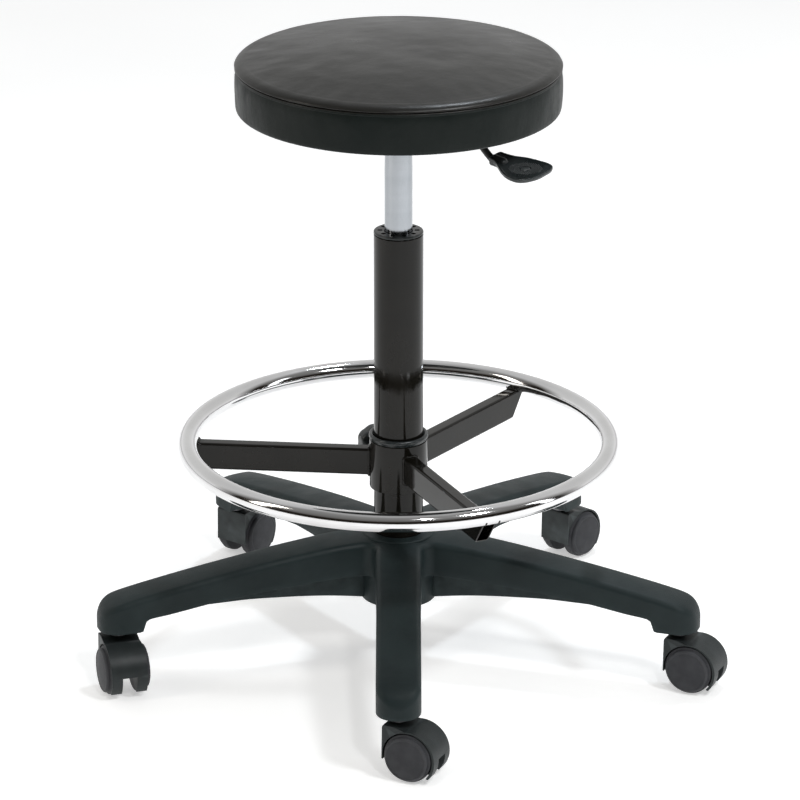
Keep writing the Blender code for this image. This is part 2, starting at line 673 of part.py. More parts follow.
def spoke_loop(x_top, x_bottom, inset):
    """Points round the spoke's section, slanted from a top to a bottom distance."""
    half = SPOKE_HALF_WIDTH - inset
    low = SPOKE_BOTTOM + inset
    high = SPOKE_TOP - inset
    cut = 0.0025 if inset == 0.0 else 0.0012
    flat = [(-half + cut, low), (half - cut, low), (half, low + cut), (half, high - cut),
            (half - cut, high), (cut - half, high), (-half, high - cut), (-half, low + cut)]
    slant = (x_top - x_bottom) / (SPOKE_TOP - SPOKE_BOTTOM)
    return [(x_bottom + (z - SPOKE_BOTTOM) * slant, y, z) for y, z in flat]


def ring_spokes(finish):
    """Three rectangular tubes, open at the slanted outer end and notched for the ring."""
    start = SLEEVE_RADIUS + 0.0006
    for number, azimuth in enumerate(SPOKE_AZIMUTHS, start=1):
        loops = [spoke_loop(start, start, 0.0), spoke_loop(SPOKE_TOP_END, SPOKE_BOTTOM_END, 0.0),
                 spoke_loop(SPOKE_TOP_END, SPOKE_BOTTOM_END, SPOKE_WALL), spoke_loop(start, start, SPOKE_WALL)]
        tube = lofted(loops, capped=False, ring=True)
        notch = moved(rod(RING_TUBE + 0.0005, 0.04, 24), Matrix.Rotation(math.pi / 2.0, 4, "X"))
        notch = moved(notch, Matrix.Translation((RING_RADIUS, 0.02, RING_HEIGHT)))
        cut = combined(tube, [notch], "DIFFERENCE")
        place(f"ring_spoke_{number}", moved(cut, Matrix.Rotation(math.radians(azimuth), 4, "Z")), finish)


def ring_hub(finish):
    """The steel sleeve on the column, with a threaded boss for the clamp screw."""
    edge = 0.0008
    outline = [(SLEEVE_BORE, SLEEVE_BOTTOM), (SLEEVE_RADIUS - edge, SLEEVE_BOTTOM),
               (SLEEVE_RADIUS, SLEEVE_BOTTOM + edge), (SLEEVE_RADIUS, SLEEVE_TOP - edge),
               (SLEEVE_RADIUS - edge, SLEEVE_TOP), (SLEEVE_BORE, SLEEVE_TOP)]
    sleeve = turned(outline, 24, closed=True)
    boss = moved(rod(0.0095, 0.0105, 16), lying(KNOB_AZIMUTH, 0.0282, KNOB_HEIGHT))
    bore = moved(rod(SCREW_RADIUS + GAP, 0.03, 12), lying(KNOB_AZIMUTH, 0.020, KNOB_HEIGHT))
    place("ring_hub", combined(combined(sleeve, [boss], "UNION"), [bore], "DIFFERENCE"), finish)


def ring_bush(finish):
    """The plastic liner between sleeve and column, with a round lip on top."""
    bore = COLUMN_RADIUS + 0.0004
    body = SLEEVE_BORE - GAP
    lip_low = SLEEVE_TOP + GAP
    outline = [(bore, SLEEVE_BOTTOM + 0.001), (body, SLEEVE_BOTTOM + 0.001), (body, lip_low),
               (0.0292, lip_low), (0.0302, lip_low + 0.0019), (0.0300, lip_low + 0.0044),
               (0.0285, lip_low + 0.0060), (0.0268, lip_low + 0.0057), (bore, lip_low + 0.0040)]
    place("ring_bush", turned(outline, 24, closed=True), finish)


def place_on_screw_axis(name, bm, start, finish):
    """Lay a Z-up shape on the clamp screw's axis, with its origin where it starts."""
    location = direction(KNOB_AZIMUTH) * start + Vector((0.0, 0.0, KNOB_HEIGHT))
    place(name, moved(bm, lying(KNOB_AZIMUTH, 0.0, 0.0)), finish, location)


def clamp_screw(finish):
    """The screw that presses the liner against the column."""
    start = SLEEVE_BORE + 0.0001
    place_on_screw_axis("clamp_screw", rod(SCREW_RADIUS, 0.0345, 12), start, finish)


def clamp_knob(finish):
    """A lobed hand knob with a blind bore for the screw."""
    lobes = 6
    per_lobe = 4
    points = []
    for k in range(lobes * per_lobe):
        angle = 2.0 * math.pi * k / (lobes * per_lobe)
        radius = KNOB_RADIUS - 0.0014 * (1.0 - math.cos(lobes * angle)) / 2.0
        points.append((radius * math.cos(angle), radius * math.sin(angle)))
    levels = ((0.0, 0.80), (0.002, 1.0), (KNOB_LENGTH - 0.003, 1.0), (KNOB_LENGTH, 0.82))
    body = lofted([[(x * scale, y * scale, level) for x, y in points] for level, scale in levels])
    bore = moved(rod(SCREW_RADIUS + GAP, 0.0125, 12), Matrix.Translation((0.0, 0.0, -0.0005)))
    place_on_screw_axis("clamp_knob", combined(body, [bore], "DIFFERENCE"), KNOB_START, finish)


# ---------------------------------------------------------------- casters
def stem_mesh():
    """The pin that stands in the leg's socket, with a collar and a groove for its grip ring."""
    collar_low = HOOD_TOP + GAP
    collar_high = collar_low + 0.0025
    groove = STEM_RADIUS - 0.0008
    outline = [(0.0, 0.0456), (STEM_RADIUS, 0.0456), (STEM_RADIUS, collar_low), (0.0095, collar_low),
               (0.0095, collar_high), (STEM_RADIUS, collar_high), (STEM_RADIUS, 0.0770), (groove, 0.0770),
               (groove, 0.0810), (STEM_RADIUS, 0.0810), (STEM_RADIUS, 0.0850), (0.0040, 0.0865),
               (0.0, 0.0865)]
    return turned(outline, 10)


def hood_mesh():
    """The caster's hood: one profile across both wheels, cut away for them beside a middle web."""
    arc_x = CASTER_TRAIL - 0.0005
    arc_z = HOOD_TOP - HOOD_ARC
    outline = [(HOOD_FRONT, HOOD_FRONT_LOW), (HOOD_FRONT, HOOD_TOP - 0.003), (HOOD_FRONT + 0.003, HOOD_TOP)]
    for step in range(9):
        angle = math.radians(90.0 - step * 13.5)
        outline.append((arc_x + HOOD_ARC * math.cos(angle), arc_z + HOOD_ARC * math.sin(angle)))
    outline += [(CASTER_TRAIL + 0.014, 0.0205), (CASTER_TRAIL, 0.0212)]
    body = prism(outline, -HOOD_HALF_WIDTH, HOOD_HALF_WIDTH)
    across = Matrix.Rotation(math.pi / 2.0, 4, "X")
    reach = 0.03
    cuts = []
    for side in (1, -1):
        middle = side * (HOOD_WEB + reach / 2.0)
        shift = Matrix.Translation((CASTER_TRAIL, middle + reach / 2.0, WHEEL_HEIGHT))
        cuts.append(moved(moved(rod(HOOD_POCKET, reach, 22), across), shift))
    shift = Matrix.Translation((CASTER_TRAIL, 0.02, WHEEL_HEIGHT))
    cuts.append(moved(moved(rod(AXLE_RADIUS + GAP, 0.04, 12), across), shift))
    cuts.append(moved(rod(STEM_RADIUS + GAP, 0.02, 12), Matrix.Translation((0.0, 0.0, 0.0453))))
    return combined(body, cuts, "DIFFERENCE")


def axle_mesh():
    """The pin through the web that carries both wheels."""
    half = WHEEL_INNER + 0.0095
    pin = moved(rod(AXLE_RADIUS, 2.0 * half, 12), Matrix.Rotation(math.pi / 2.0, 4, "X"))
    return moved(pin, Matrix.Translation((0.0, half, 0.0)))


def wheel_mesh(side):
    """A wheel with a flat tread, a step at its rim and a slightly domed face."""
    flat = 1.0 / math.cos(math.pi / WHEEL_SIDES)
    tread = WHEEL_RADIUS * flat
    bore = AXLE_RADIUS + GAP
    bore_depth = 0.0108
    outline = [(0.0, bore_depth), (bore, bore_depth), (bore, 0.0), (tread, 0.0), (tread, WHEEL_TREAD_WIDTH),
               (0.0228, WHEEL_TREAD_WIDTH + 0.0014), (0.0214, WHEEL_WIDTH - 0.0010), (0.0, WHEEL_WIDTH)]
    wheel = turned(outline, WHEEL_SIDES, phase=math.pi / WHEEL_SIDES)
    wheel = moved(wheel, Matrix.Translation((0.0, 0.0, WHEEL_INNER)))
    return moved(wheel, Matrix.Rotation(-side * math.pi / 2.0, 4, "X"))


def shared_mesh(name, bm, finish):
    """A mesh that several objects use."""
    bmesh.ops.recalc_face_normals(bm, faces=bm.faces)
    mesh = bpy.data.meshes.new(name)
    bm.to_mesh(mesh)
    bm.free()
    mesh.materials.append(finish)
    return mesh


def casters(steel, plastic, tread):
    """Five casters, each turned its own way about its stem."""
    stem = shared_mesh("caster_stem", stem_mesh(), steel)
    hood = shared_mesh("caster_hood", hood_mesh(), plastic)
    axle = shared_mesh("caster_axle", axle_mesh(), steel)
    wheels = {"a": shared_mesh("caster_wheel_a", wheel_mesh(1), tread),
              "b": shared_mesh("caster_wheel_b", wheel_mesh(-1), tread)}
    for k in range(LEG_COUNT):
        spot = direction(LEG_START + 360.0 / LEG_COUNT * k) * CASTER_RADIUS
        yaw = CASTER_YAWS[k]
        centre = spot + direction(yaw) * CASTER_TRAIL + Vector((0.0, 0.0, WHEEL_HEIGHT))
        number = k + 1
        place_mesh(f"caster_stem_{number}", stem, spot, yaw)
        place_mesh(f"caster_hood_{number}", hood, spot, yaw)
        place_mesh(f"caster_axle_{number}", axle, centre, yaw)
        for letter, wheel in wheels.items():
            place_mesh(f"caster_wheel_{number}{letter}", wheel, centre, yaw)


# ---------------------------------------------------------------- the stool
def clear_scene():
    """Remove whatever the scene holds."""
    for item in list(bpy.data.objects):
        bpy.data.objects.remove(item)


def main():
    """Build every piece."""
    clear_scene()
    nylon = material("base_nylon", (0.022, 0.024, 0.025), 0.55)
    hood_plastic = material("caster_plastic", (0.026, 0.028, 0.030), 0.50)
    tread = material("caster_tread", (0.030, 0.031, 0.033), 0.62)
    smooth_plastic = material("smooth_plastic", (0.015, 0.017, 0.018), 0.35)
    black_paint = material("black_paint", (0.012, 0.012, 0.012), 0.22)
    chrome = material("chrome", (0.82, 0.82, 0.83), 0.06, 1.0)
    bright_steel = material("bright_steel", (0.62, 0.63, 0.64), 0.28, 1.0)
    dark_steel = material("dark_steel", (0.18, 0.18, 0.19), 0.45, 1.0)
    rubber = material("rubber", (0.02, 0.02, 0.02), 0.85)
    vinyl = material("vinyl", (0.022, 0.021, 0.020), 0.38)
    foam = material("foam", (0.75, 0.70, 0.50), 0.95)
    plywood = material("plywood", (0.55, 0.38, 0.20), 0.70)
    felt = material("dust_cloth", (0.02, 0.02, 0.02), 0.95)

    star_base(nylon)
    column_tube(black_paint)
    guide_bush(smooth_plastic)
    thrust_parts(dark_steel, rubber)
    piston_rod(bright_steel)
    rod_clip(dark_steel)
    gas_cylinder(bright_steel)
    release_pin(dark_steel)
    taper_socket(black_paint)
    seat_plate(black_paint)
    seat_bolts(dark_steel)
    dust_cover(felt)
    seat_board(plywood)
    seat_foam(foam)
    seat_cover(vinyl)
    lever_rod(black_paint)
    lever_pivot_pin(dark_steel)
    lever_paddle(smooth_plastic)
    foot_ring(chrome)
    ring_spokes(black_paint)
    ring_hub(black_paint)
    ring_bush(smooth_plastic)
    clamp_screw(dark_steel)
    clamp_knob(smooth_plastic)
    casters(dark_steel, hood_plastic, tread)


main()
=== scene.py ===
"""Looks of the adjustable swivel stool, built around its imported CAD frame. Metres, +Z up."""

import json
from math import atan2, cos, degrees, exp, hypot, pi, radians, sin, sqrt, tan

import bmesh
import bpy
import numpy as np
from mathutils import Matrix, Vector, noise
from mathutils.kdtree import KDTree


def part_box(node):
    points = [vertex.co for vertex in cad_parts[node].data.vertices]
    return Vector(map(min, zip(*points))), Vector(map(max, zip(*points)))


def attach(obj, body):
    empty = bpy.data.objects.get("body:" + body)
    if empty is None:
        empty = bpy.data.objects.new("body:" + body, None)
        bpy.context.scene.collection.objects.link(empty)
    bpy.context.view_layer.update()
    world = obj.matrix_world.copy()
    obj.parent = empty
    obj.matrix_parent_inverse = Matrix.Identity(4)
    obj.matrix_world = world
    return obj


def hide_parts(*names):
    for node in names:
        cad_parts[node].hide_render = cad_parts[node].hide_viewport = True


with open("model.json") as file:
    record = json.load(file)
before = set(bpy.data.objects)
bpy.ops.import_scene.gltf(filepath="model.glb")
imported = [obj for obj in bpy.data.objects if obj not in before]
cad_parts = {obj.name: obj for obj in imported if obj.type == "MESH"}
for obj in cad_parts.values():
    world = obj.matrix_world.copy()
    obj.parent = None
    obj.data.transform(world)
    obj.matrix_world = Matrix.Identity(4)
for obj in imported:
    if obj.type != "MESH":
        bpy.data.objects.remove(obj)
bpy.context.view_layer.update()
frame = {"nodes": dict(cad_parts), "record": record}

NODE_BODY = {node: body for body, nodes in frame["record"]["behaviour"]["bodies"].items() for node in nodes}

# The CAD's drawing origin: on the column axis, with the tube's lower end at its drawn height.
COLUMN_BOTTOM = 0.066
TUBE_LOW, TUBE_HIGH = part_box("column_tube")
TUBE_MIDDLE = (TUBE_LOW + TUBE_HIGH) / 2
ORIGIN = Vector((TUBE_MIDDLE.x, TUBE_MIDDLE.y, TUBE_LOW.z - COLUMN_BOTTOM))

TOP = Vector((0, 0, 1))


# ---------- mesh tools
def direction(azimuth):
    """Level unit vector at an azimuth in degrees."""
    return Vector((cos(radians(azimuth)), sin(radians(azimuth)), 0))


def about_z(azimuth):
    """Turn about the column axis by an azimuth in degrees."""
    return Matrix.Rotation(radians(azimuth), 4, "Z")


def placed(name, data):
    """A new object in the scene."""
    made = bpy.data.objects.new(name, data)
    bpy.context.scene.collection.objects.link(made)
    return made


def add(name, bm, coat, node, replaced=None, location=(0, 0, 0), yaw=0, sharp=35):
    """Make a piece from a bmesh drawn about the column axis, or from a mesh that is shared.

    It rides on the body of a CAD node and stands for that node, unless other nodes are named.
    """
    mesh = bm
    if isinstance(bm, bmesh.types.BMesh):
        mesh = bpy.data.meshes.new(name)
        bmesh.ops.remove_doubles(bm, verts=bm.verts, dist=2e-6)
        bmesh.ops.recalc_face_normals(bm, faces=bm.faces)
        bm.to_mesh(mesh)
        bm.free()
        mesh.shade_smooth()
        mesh.set_sharp_from_angle(angle=radians(sharp))
        mesh.materials.append(coat)
    made = placed(name, mesh)
    made.location = ORIGIN + Vector(location)
    made.rotation_euler = (0, 0, radians(yaw))
    weigh = made.modifiers.new("normals", "WEIGHTED_NORMAL")
    weigh.keep_sharp = True
    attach(made, NODE_BODY[node])
    stands_for = (node,) if replaced is None else replaced
    if stands_for:
        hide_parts(*stands_for)
    return made


def bevelled(made, width):
    """Round the sharp edges of a piece, before its normals are weighed."""
    step = made.modifiers.new("edges", "BEVEL")
    step.width = width
    step.segments = 3
    step.limit_method = "ANGLE"
    step.angle_limit = radians(30)
    step.harden_normals = True
    made.modifiers.move(len(made.modifiers) - 1, 0)


def turned(outline, sides, closed=False):
    """Spin a (radius, height) outline round Z."""
    bm = bmesh.new()
    rows = []
    for k in range(sides):
        turn = 2 * pi * k / sides
        rows.append([bm.verts.new((r * cos(turn), r * sin(turn), z)) for r, z in outline])
    count = len(outline)
    for k in range(sides):
        near, far = rows[k], rows[(k + 1) % sides]
        for i in range(count if closed else count - 1):
            j = (i + 1) % count
            bm.faces.new((near[i], far[i], far[j], near[j]))
    bmesh.ops.remove_doubles(bm, verts=bm.verts, dist=1e-6)
    bmesh.ops.dissolve_degenerate(bm, edges=bm.edges, dist=1e-7)
    bmesh.ops.recalc_face_normals(bm, faces=bm.faces)
    return bm


def lofted(loops, ring=False):
    """Skin over loops of equally many points: capped at both ends, or joined into a ring."""
    bm = bmesh.new()
    rows = [[bm.verts.new(point) for point in loop] for loop in loops]
    pairs = list(zip(rows, rows[1:])) + ([(rows[-1], rows[0])] if ring else [])
    for low, high in pairs:
        for i in range(len(low)):
            j = (i + 1) % len(low)
            bm.faces.new((low[i], low[j], high[j], high[i]))
    if not ring:
        bm.faces.new(rows[0][::-1])
        bm.faces.new(rows[-1])
    bmesh.ops.recalc_face_normals(bm, faces=bm.faces)
    return bm


def piped(path, radius, sides=14, ripple=0, pitch=1):
    """A round tube along an open path of points, with an optional ripple like a weld bead's."""
    loops = []
    count = len(path)
    for index, point in enumerate(path):
        along = (Vector(path[min(count - 1, index + 1)]) - Vector(path[max(0, index - 1)])).normalized()
        side = along.cross(TOP)
        side = side.normalized() if side.length > 1e-4 else Vector((1, 0, 0))
        up = side.cross(along)
        size = radius * (1 + ripple * sin(2 * pi * index / pitch))
        if index in (0, count - 1):
            size *= 0.55
        angles = [2 * pi * (k + 0.5) / sides for k in range(sides)]
        loops.append([Vector(point) + size * (side * cos(a) + up * sin(a)) for a in angles])
    return lofted(loops)


def rod(radius, length, sides=32):
    """A cylinder that stands on Z = 0."""
    bm = bmesh.new()
    bmesh.ops.create_cone(bm, cap_ends=True, segments=sides, radius1=radius, radius2=radius,
                          depth=length, matrix=Matrix.Translation((0, 0, length / 2)))
    return bm


def moved(bm, matrix):
    """The same mesh, moved by a matrix."""
    bmesh.ops.transform(bm, matrix=matrix, verts=bm.verts)
    return bm


def joined(*parts):
    """Several meshes as one."""
    base = bmesh.new()
    for part in parts:
        mesh = bpy.data.meshes.new("part")
        part.to_mesh(mesh)
        part.free()
        base.from_mesh(mesh)
        bpy.data.meshes.remove(mesh)
    return base


def combined(base, others):
    """A closed mesh with others cut out of it."""
    objects = []
    for bm in [base] + list(others):
        mesh = bpy.data.meshes.new("boolean_input")
        bm.to_mesh(mesh)
        bm.free()
        objects.append(placed("boolean_input", mesh))
    for tool in objects[1:]:
        step = objects[0].modifiers.new("boolean", "BOOLEAN")
        step.operation = "DIFFERENCE"
        step.solver = "EXACT"
        step.object = tool
    bpy.context.view_layer.update()
    evaluated = objects[0].evaluated_get(bpy.context.evaluated_depsgraph_get())
    result = bmesh.new()
    result.from_mesh(evaluated.to_mesh())
    evaluated.to_mesh_clear()
    for item in objects:
        bpy.data.objects.remove(item)
    return result


def slopes_of(stations):
    """Slope at each station of a smooth curve that doesn't overshoot."""
    steps = [(z1 - z0) / (x1 - x0) for (x0, z0), (x1, z1) in zip(stations, stations[1:])]
    inner = [2 * a * b / (a + b) if a * b > 0 else 0 for a, b in zip(steps, steps[1:])]
    return [steps[0]] + inner + [steps[-1]]


def eased(stations, x):
    """Height at x of a smooth curve through (x, height) stations."""
    x = min(max(x, stations[0][0]), stations[-1][0])
    slopes = slopes_of(stations)
    i = max(k for k in range(len(stations) - 1) if x >= stations[k][0])
    (x0, z0), (x1, z1) = stations[i], stations[i + 1]
    span = x1 - x0
    t = (x - x0) / span
    return (z0 * (1 + 2 * t) * (1 - t) ** 2 + slopes[i] * span * t * (1 - t) ** 2
            + z1 * t * t * (3 - 2 * t) + slopes[i + 1] * span * t * t * (t - 1))


def between(a, b, c, d, t):
    """Point on the smooth curve from b to c whose neighbours are a and d."""
    a, b, c, d = (np.array(point, float) for point in (a, b, c, d))
    bend = (2 * a - 5 * b + 4 * c - d) * t * t + (3 * b - a - 3 * c + d) * t ** 3
    return 0.5 * (2 * b + (c - a) * t + bend)


def rounded(points, steps=4):
    """A finer open line through points."""
    ends = [points[0]] + list(points) + [points[-1]]
    fours = zip(ends, ends[1:], ends[2:], ends[3:])
    fine = [tuple(between(*four, k / steps)) for four in fours for k in range(steps)]
    return fine + [tuple(float(v) for v in points[-1])]


# ---------- materials
def texture(tree, kind, scale, stretch=None, detail=3):
    """A texture in the object's own coordinates. Returns its height."""
    nodes, links = tree.nodes, tree.links
    source = nodes.new("ShaderNodeTexCoord").outputs["Object"]
    if stretch:
        mapping = nodes.new("ShaderNodeMapping")
        mapping.inputs["Scale"].default_value = stretch
        links.new(source, mapping.inputs["Vector"])
        source = mapping.outputs["Vector"]
    if kind == "noise":
        node = nodes.new("ShaderNodeTexNoise")
        node.inputs["Detail"].default_value = detail
        out = node.outputs["Fac"]
    else:
        node = nodes.new("ShaderNodeTexVoronoi")
        node.feature = {"cells": "F1", "creases": "DISTANCE_TO_EDGE"}[kind]
        out = node.outputs["Distance"]
    node.inputs["Scale"].default_value = scale
    links.new(source, node.inputs["Vector"])
    return out


def ramp(tree, height, stops):
    """Colours over a height from 0 to 1."""
    node = tree.nodes.new("ShaderNodeValToRGB")
    while len(node.color_ramp.elements) < len(stops):
        node.color_ramp.elements.new(0.5)
    for element, (position, colour) in zip(node.color_ramp.elements, stops):
        element.position = position
        element.color = (*colour, 1)
    tree.links.new(height, node.inputs["Fac"])
    return node.outputs["Color"]


def finish(name, dark, light, gloss, relief, cloud=(18,), patch=(35,), wear=None, **sockets):
    """A material with cloudy colour, uneven gloss, fine relief and optional worn edges.

    gloss is the lowest and highest roughness. Each relief is a texture kind, a depth, a scale and
    perhaps a stretch, and so are cloud and patch without their kind and depth.
    """
    made = bpy.data.materials.new(name)
    made.use_nodes = True
    tree = made.node_tree
    link = tree.links.new
    shader = tree.nodes["Principled BSDF"]
    for socket, value in sockets.items():
        shader.inputs[socket.replace("_", " ")].default_value = value
    colour = ramp(tree, texture(tree, "noise", *cloud, detail=5), ((0.36, dark), (0.64, light)))
    if wear:
        edges = tree.nodes.new("ShaderNodeNewGeometry").outputs["Pointiness"]
        worn = ramp(tree, edges, ((0.515, (0,) * 3), (0.6, (1,) * 3)))
        mix = tree.nodes.new("ShaderNodeMix")
        mix.data_type = "RGBA"
        link(worn, mix.inputs["Factor"])
        link(colour, mix.inputs["A"])
        spread = ramp(tree, texture(tree, "noise", 60), ((0.3, light), (0.7, wear)))
        link(spread, mix.inputs["B"])
        colour = mix.outputs["Result"]
    link(colour, shader.inputs["Base Color"])
    rough = tree.nodes.new("ShaderNodeMapRange")
    rough.inputs["From Min"].default_value = 0.3
    rough.inputs["From Max"].default_value = 0.7
    rough.inputs["To Min"].default_value = gloss[0]
    rough.inputs["To Max"].default_value = gloss[1]
    link(texture(tree, "noise", *patch, detail=6), rough.inputs["Value"])
    link(rough.outputs["Result"], shader.inputs["Roughness"])
    normal = None
    for kind, depth, *scale in relief:
        bump = tree.nodes.new("ShaderNodeBump")
        bump.inputs["Distance"].default_value = depth
        link(texture(tree, kind, *scale), bump.inputs["Height"])
        if normal:
            link(normal, bump.inputs["Normal"])
        normal = bump.outputs["Normal"]
    link(normal, shader.inputs["Normal"])
    return made


NYLON = finish("base_nylon", (0.011, 0.0185, 0.0195), (0.0165, 0.0265, 0.0275), (0.46, 0.58),
               (("noise", 0.00016, 1500), ("noise", 0.0002, 90)),
               wear=(0.04, 0.056, 0.058), Specular_IOR_Level=0.22)
HOOD = finish("caster_plastic", (0.013, 0.0165, 0.017), (0.022, 0.027, 0.0275), (0.4, 0.52),
              (("noise", 0.0001, 1800), ("noise", 0.00015, 120)),
              wear=(0.06, 0.072, 0.075), Specular_IOR_Level=0.28)
TREAD = finish("caster_tread", (0.032, 0.033, 0.037), (0.046, 0.047, 0.052), (0.5, 0.66),
               (("noise", 0.00012, 900), ("noise", 0.0001, 160)),
               cloud=(60,), wear=(0.085, 0.085, 0.09), Specular_IOR_Level=0.25)
PLASTIC = finish("smooth_plastic", (0.012, 0.016, 0.017), (0.02, 0.025, 0.026), (0.22, 0.34),
                 (("noise", 0.00005, 700), ("noise", 0.0001, 90)), wear=(0.05, 0.055, 0.055))
# Thumb pad and dots, painted several times lighter than the paddle's plastic: a painted glint standing in
# for the light the tiny domes catch.
GRIP_PAINTED_GLINT = finish("grip_dots", (0.05, 0.056, 0.058), (0.08, 0.088, 0.09), (0.3, 0.4),
              (("noise", 0.00005, 900),), cloud=(120,))
PAINT = finish("black_paint", (0.0054, 0.005, 0.0038), (0.0098, 0.0086, 0.0066), (0.05, 0.11),
               (("noise", 0.00002, 230), ("noise", 0.00008, 30)), Specular_IOR_Level=0.26)
SATIN = finish("satin_paint", (0.01, 0.01, 0.01), (0.018, 0.018, 0.018), (0.28, 0.42),
               (("noise", 0.00006, 500),), Specular_IOR_Level=0.4)
CHROME = finish("chrome", (0.74, 0.735, 0.74), (0.8, 0.8, 0.805), (0.06, 0.1),
                (("noise", 0.00002, 38), ("noise", 0.0000004, 700)), Metallic=1)
STEEL = finish("ground_steel", (0.365, 0.385, 0.41), (0.395, 0.415, 0.44), (0.1, 0.14),
               (("noise", 0.0000002, 1, (40, 40, 7000)), ("noise", 0.00002, 30)),
               cloud=(1, (6, 6, 60)), patch=(1, (50, 50, 300)), Metallic=1,
               Anisotropic=0.85, Anisotropic_Rotation=0.25)
GRIND = STEEL.node_tree.nodes.new("ShaderNodeTangent")
GRIND.direction_type = "RADIAL"
GRIND.axis = "Z"
STEEL.node_tree.links.new(GRIND.outputs["Tangent"],
                          STEEL.node_tree.nodes["Principled BSDF"].inputs["Tangent"])
DARK_STEEL = finish("dark_steel", (0.1, 0.1, 0.105), (0.24, 0.24, 0.25), (0.34, 0.55),
                    (("noise", 0.00003, 800), ("noise", 0.00001, 1, (80, 80, 6000))),
                    cloud=(120,), Metallic=1)
RUBBER = finish("rubber", (0.014, 0.014, 0.014), (0.026, 0.026, 0.026), (0.75, 0.92),
                (("noise", 0.0002, 900),))
VINYL = finish("vinyl", (0.008, 0.0076, 0.0064), (0.0135, 0.013, 0.0112), (0.27, 0.36),
               (("creases", 0.00007, 950), ("noise", 0.00003, 2600),
                ("noise", 0.0008, 30)),
               cloud=(9,), patch=(14,), Specular_IOR_Level=0.3)
# The band's vinyl is a darker, greener copy of the top's vinyl: painted shade on the cushion's side, where
# less light falls than on the top.
BAND_PAINTED_SHADE = finish("vinyl_band_painted_shade", (0.0045, 0.0078, 0.007), (0.0085, 0.0118, 0.0105), (0.34, 0.48),
              (("creases", 0.0001, 950), ("noise", 0.00003, 2600),
               ("noise", 0.0012, 40, (1, 1, 0.6))), cloud=(14,), Specular_IOR_Level=0.16)
PLY = finish("plywood", (0.36, 0.22, 0.11), (0.6, 0.42, 0.24), (0.6, 0.8),
             (("noise", 0.0002, 1, (600, 12, 2400)),), cloud=(1, (140, 6, 900)))
CLOTH = finish("dust_cloth", (0.014, 0.014, 0.014), (0.034, 0.034, 0.034), (0.85, 0.97),
               (("creases", 0.0003, 1100), ("noise", 0.0003, 1, (2200, 180, 900))),
               cloud=(400,), Sheen_Weight=0.2)
FLOOR = finish("studio_floor", (0.86, 0.86, 0.855), (0.9, 0.9, 0.895), (0.6, 0.72),
               (("noise", 0.0001, 300),), cloud=(1.5,), Specular_IOR_Level=0.12,
               Emission_Color=(1, 1, 1, 1), Emission_Strength=0.44)


# ---------- camera
CAMERA_BACK = 4.2
CAMERA_HEIGHT = 1.8764
CAMERA_DOWN = 20.869


def make_camera():
    """The photograph's viewpoint: a long lens, a little above the seat."""
    data = bpy.data.cameras.new("camera")
    data.lens = 199.67
    data.shift_x = 0.001825
    data.clip_end = 100
    made = placed("camera", data)
    made.location = ORIGIN + Vector((0, -CAMERA_BACK, CAMERA_HEIGHT))
    made.rotation_euler = (radians(90 - CAMERA_DOWN), 0, 0)
    bpy.context.scene.camera = made


make_camera()

# ---------- star base
LEG_AZIMUTHS = [-90 + 72 * k for k in range(5)]
SHOULDER = ((0, 0.1325), (0.057, 0.1315), (0.107, 0.127), (0.19, 0.1156), (0.255, 0.1048),
            (0.283, 0.0995), (0.299, 0.0957), (0.3085, 0.0915), (0.3145, 0.0865), (0.3175, 0.0822),
            (0.319, 0.0785))
WALL_FOOT = ((0, 0.094), (0.061, 0.0975), (0.129, 0.094), (0.194, 0.0885), (0.25, 0.0806),
             (0.27, 0.0782), (0.2745, 0.0752), (0.2765, 0.07), (0.2775, 0.0652), (0.281, 0.065),
             (0.33, 0.065))
RIB_FOOT = ((0.028, 0.0625), (0.082, 0.071), (0.125, 0.075), (0.17, 0.0775), (0.225, 0.0775),
            (0.262, 0.0785))
KEEL_ENDS = (0.03, 0.266)
CROSS_RIBS = (0.105, 0.155, 0.205, 0.25)
CASTER_REACH = 0.2982
BORE = 0.0253
LEG_END = 0.3188
END_CORNER = 0.02
HUB_FILLET = 0.011
LEG_EDGE = 0.0055
LEG_SKIN = 0.0045
SOCKET_START = 0.268
VALLEY_STEPS = 10
HUB_RADIUS = 0.0385


def leg_half(x):
    """Half the leg's width."""
    return 0.0222 + 0.002 * max(0, 1 - x / 0.15)


def leg_stations():
    """Outline points of half a leg from valley to tip: place, inward direction, and the spine point."""
    slope = radians(36)
    reach = (leg_half(0.048) + HUB_FILLET) / sin(slope)
    centre = Vector((reach * cos(slope), reach * sin(slope)))
    stations = []
    for k in range(VALLEY_STEPS + 1):
        phi = radians(216 + 54 * k / VALLEY_STEPS)
        inward = Vector((cos(phi), sin(phi)))
        a = slope * (1 - k / VALLEY_STEPS)
        spine = Vector((BORE * cos(a), BORE * sin(a)))
        stations.append((centre + inward * HUB_FILLET, inward, spine))
    start = centre.x
    stop = LEG_END - END_CORNER
    for k in range(1, 71):
        x = start + (stop - start) * k / 70
        lag = (start - BORE) * max(0, 1 - (x - start) / 0.032)
        stations.append((Vector((x, leg_half(x))), Vector((0, -1)), Vector((x - lag, 0))))
    corner = Vector((stop, leg_half(stop) - END_CORNER))
    for k in range(1, 10):
        phi = radians(90 - 10 * k)
        out = Vector((cos(phi), sin(phi)))
        stations.append((corner + out * END_CORNER, -out, Vector((stop + 0.004 * k / 9, 0))))
    for k in range(1, 5):
        stations.append((Vector((LEG_END, corner.y * (1 - k / 4))), Vector((-1, 0)),
                         Vector((stop + 0.004 + 0.0004 * k, 0))))
    return stations


def leg_top(point):
    """Height of the leg's top at a point."""
    share = min(1, abs(point.y) / leg_half(point.x))
    return eased(SHOULDER, point.x) + 0.0018 * (1 - share ** 2)


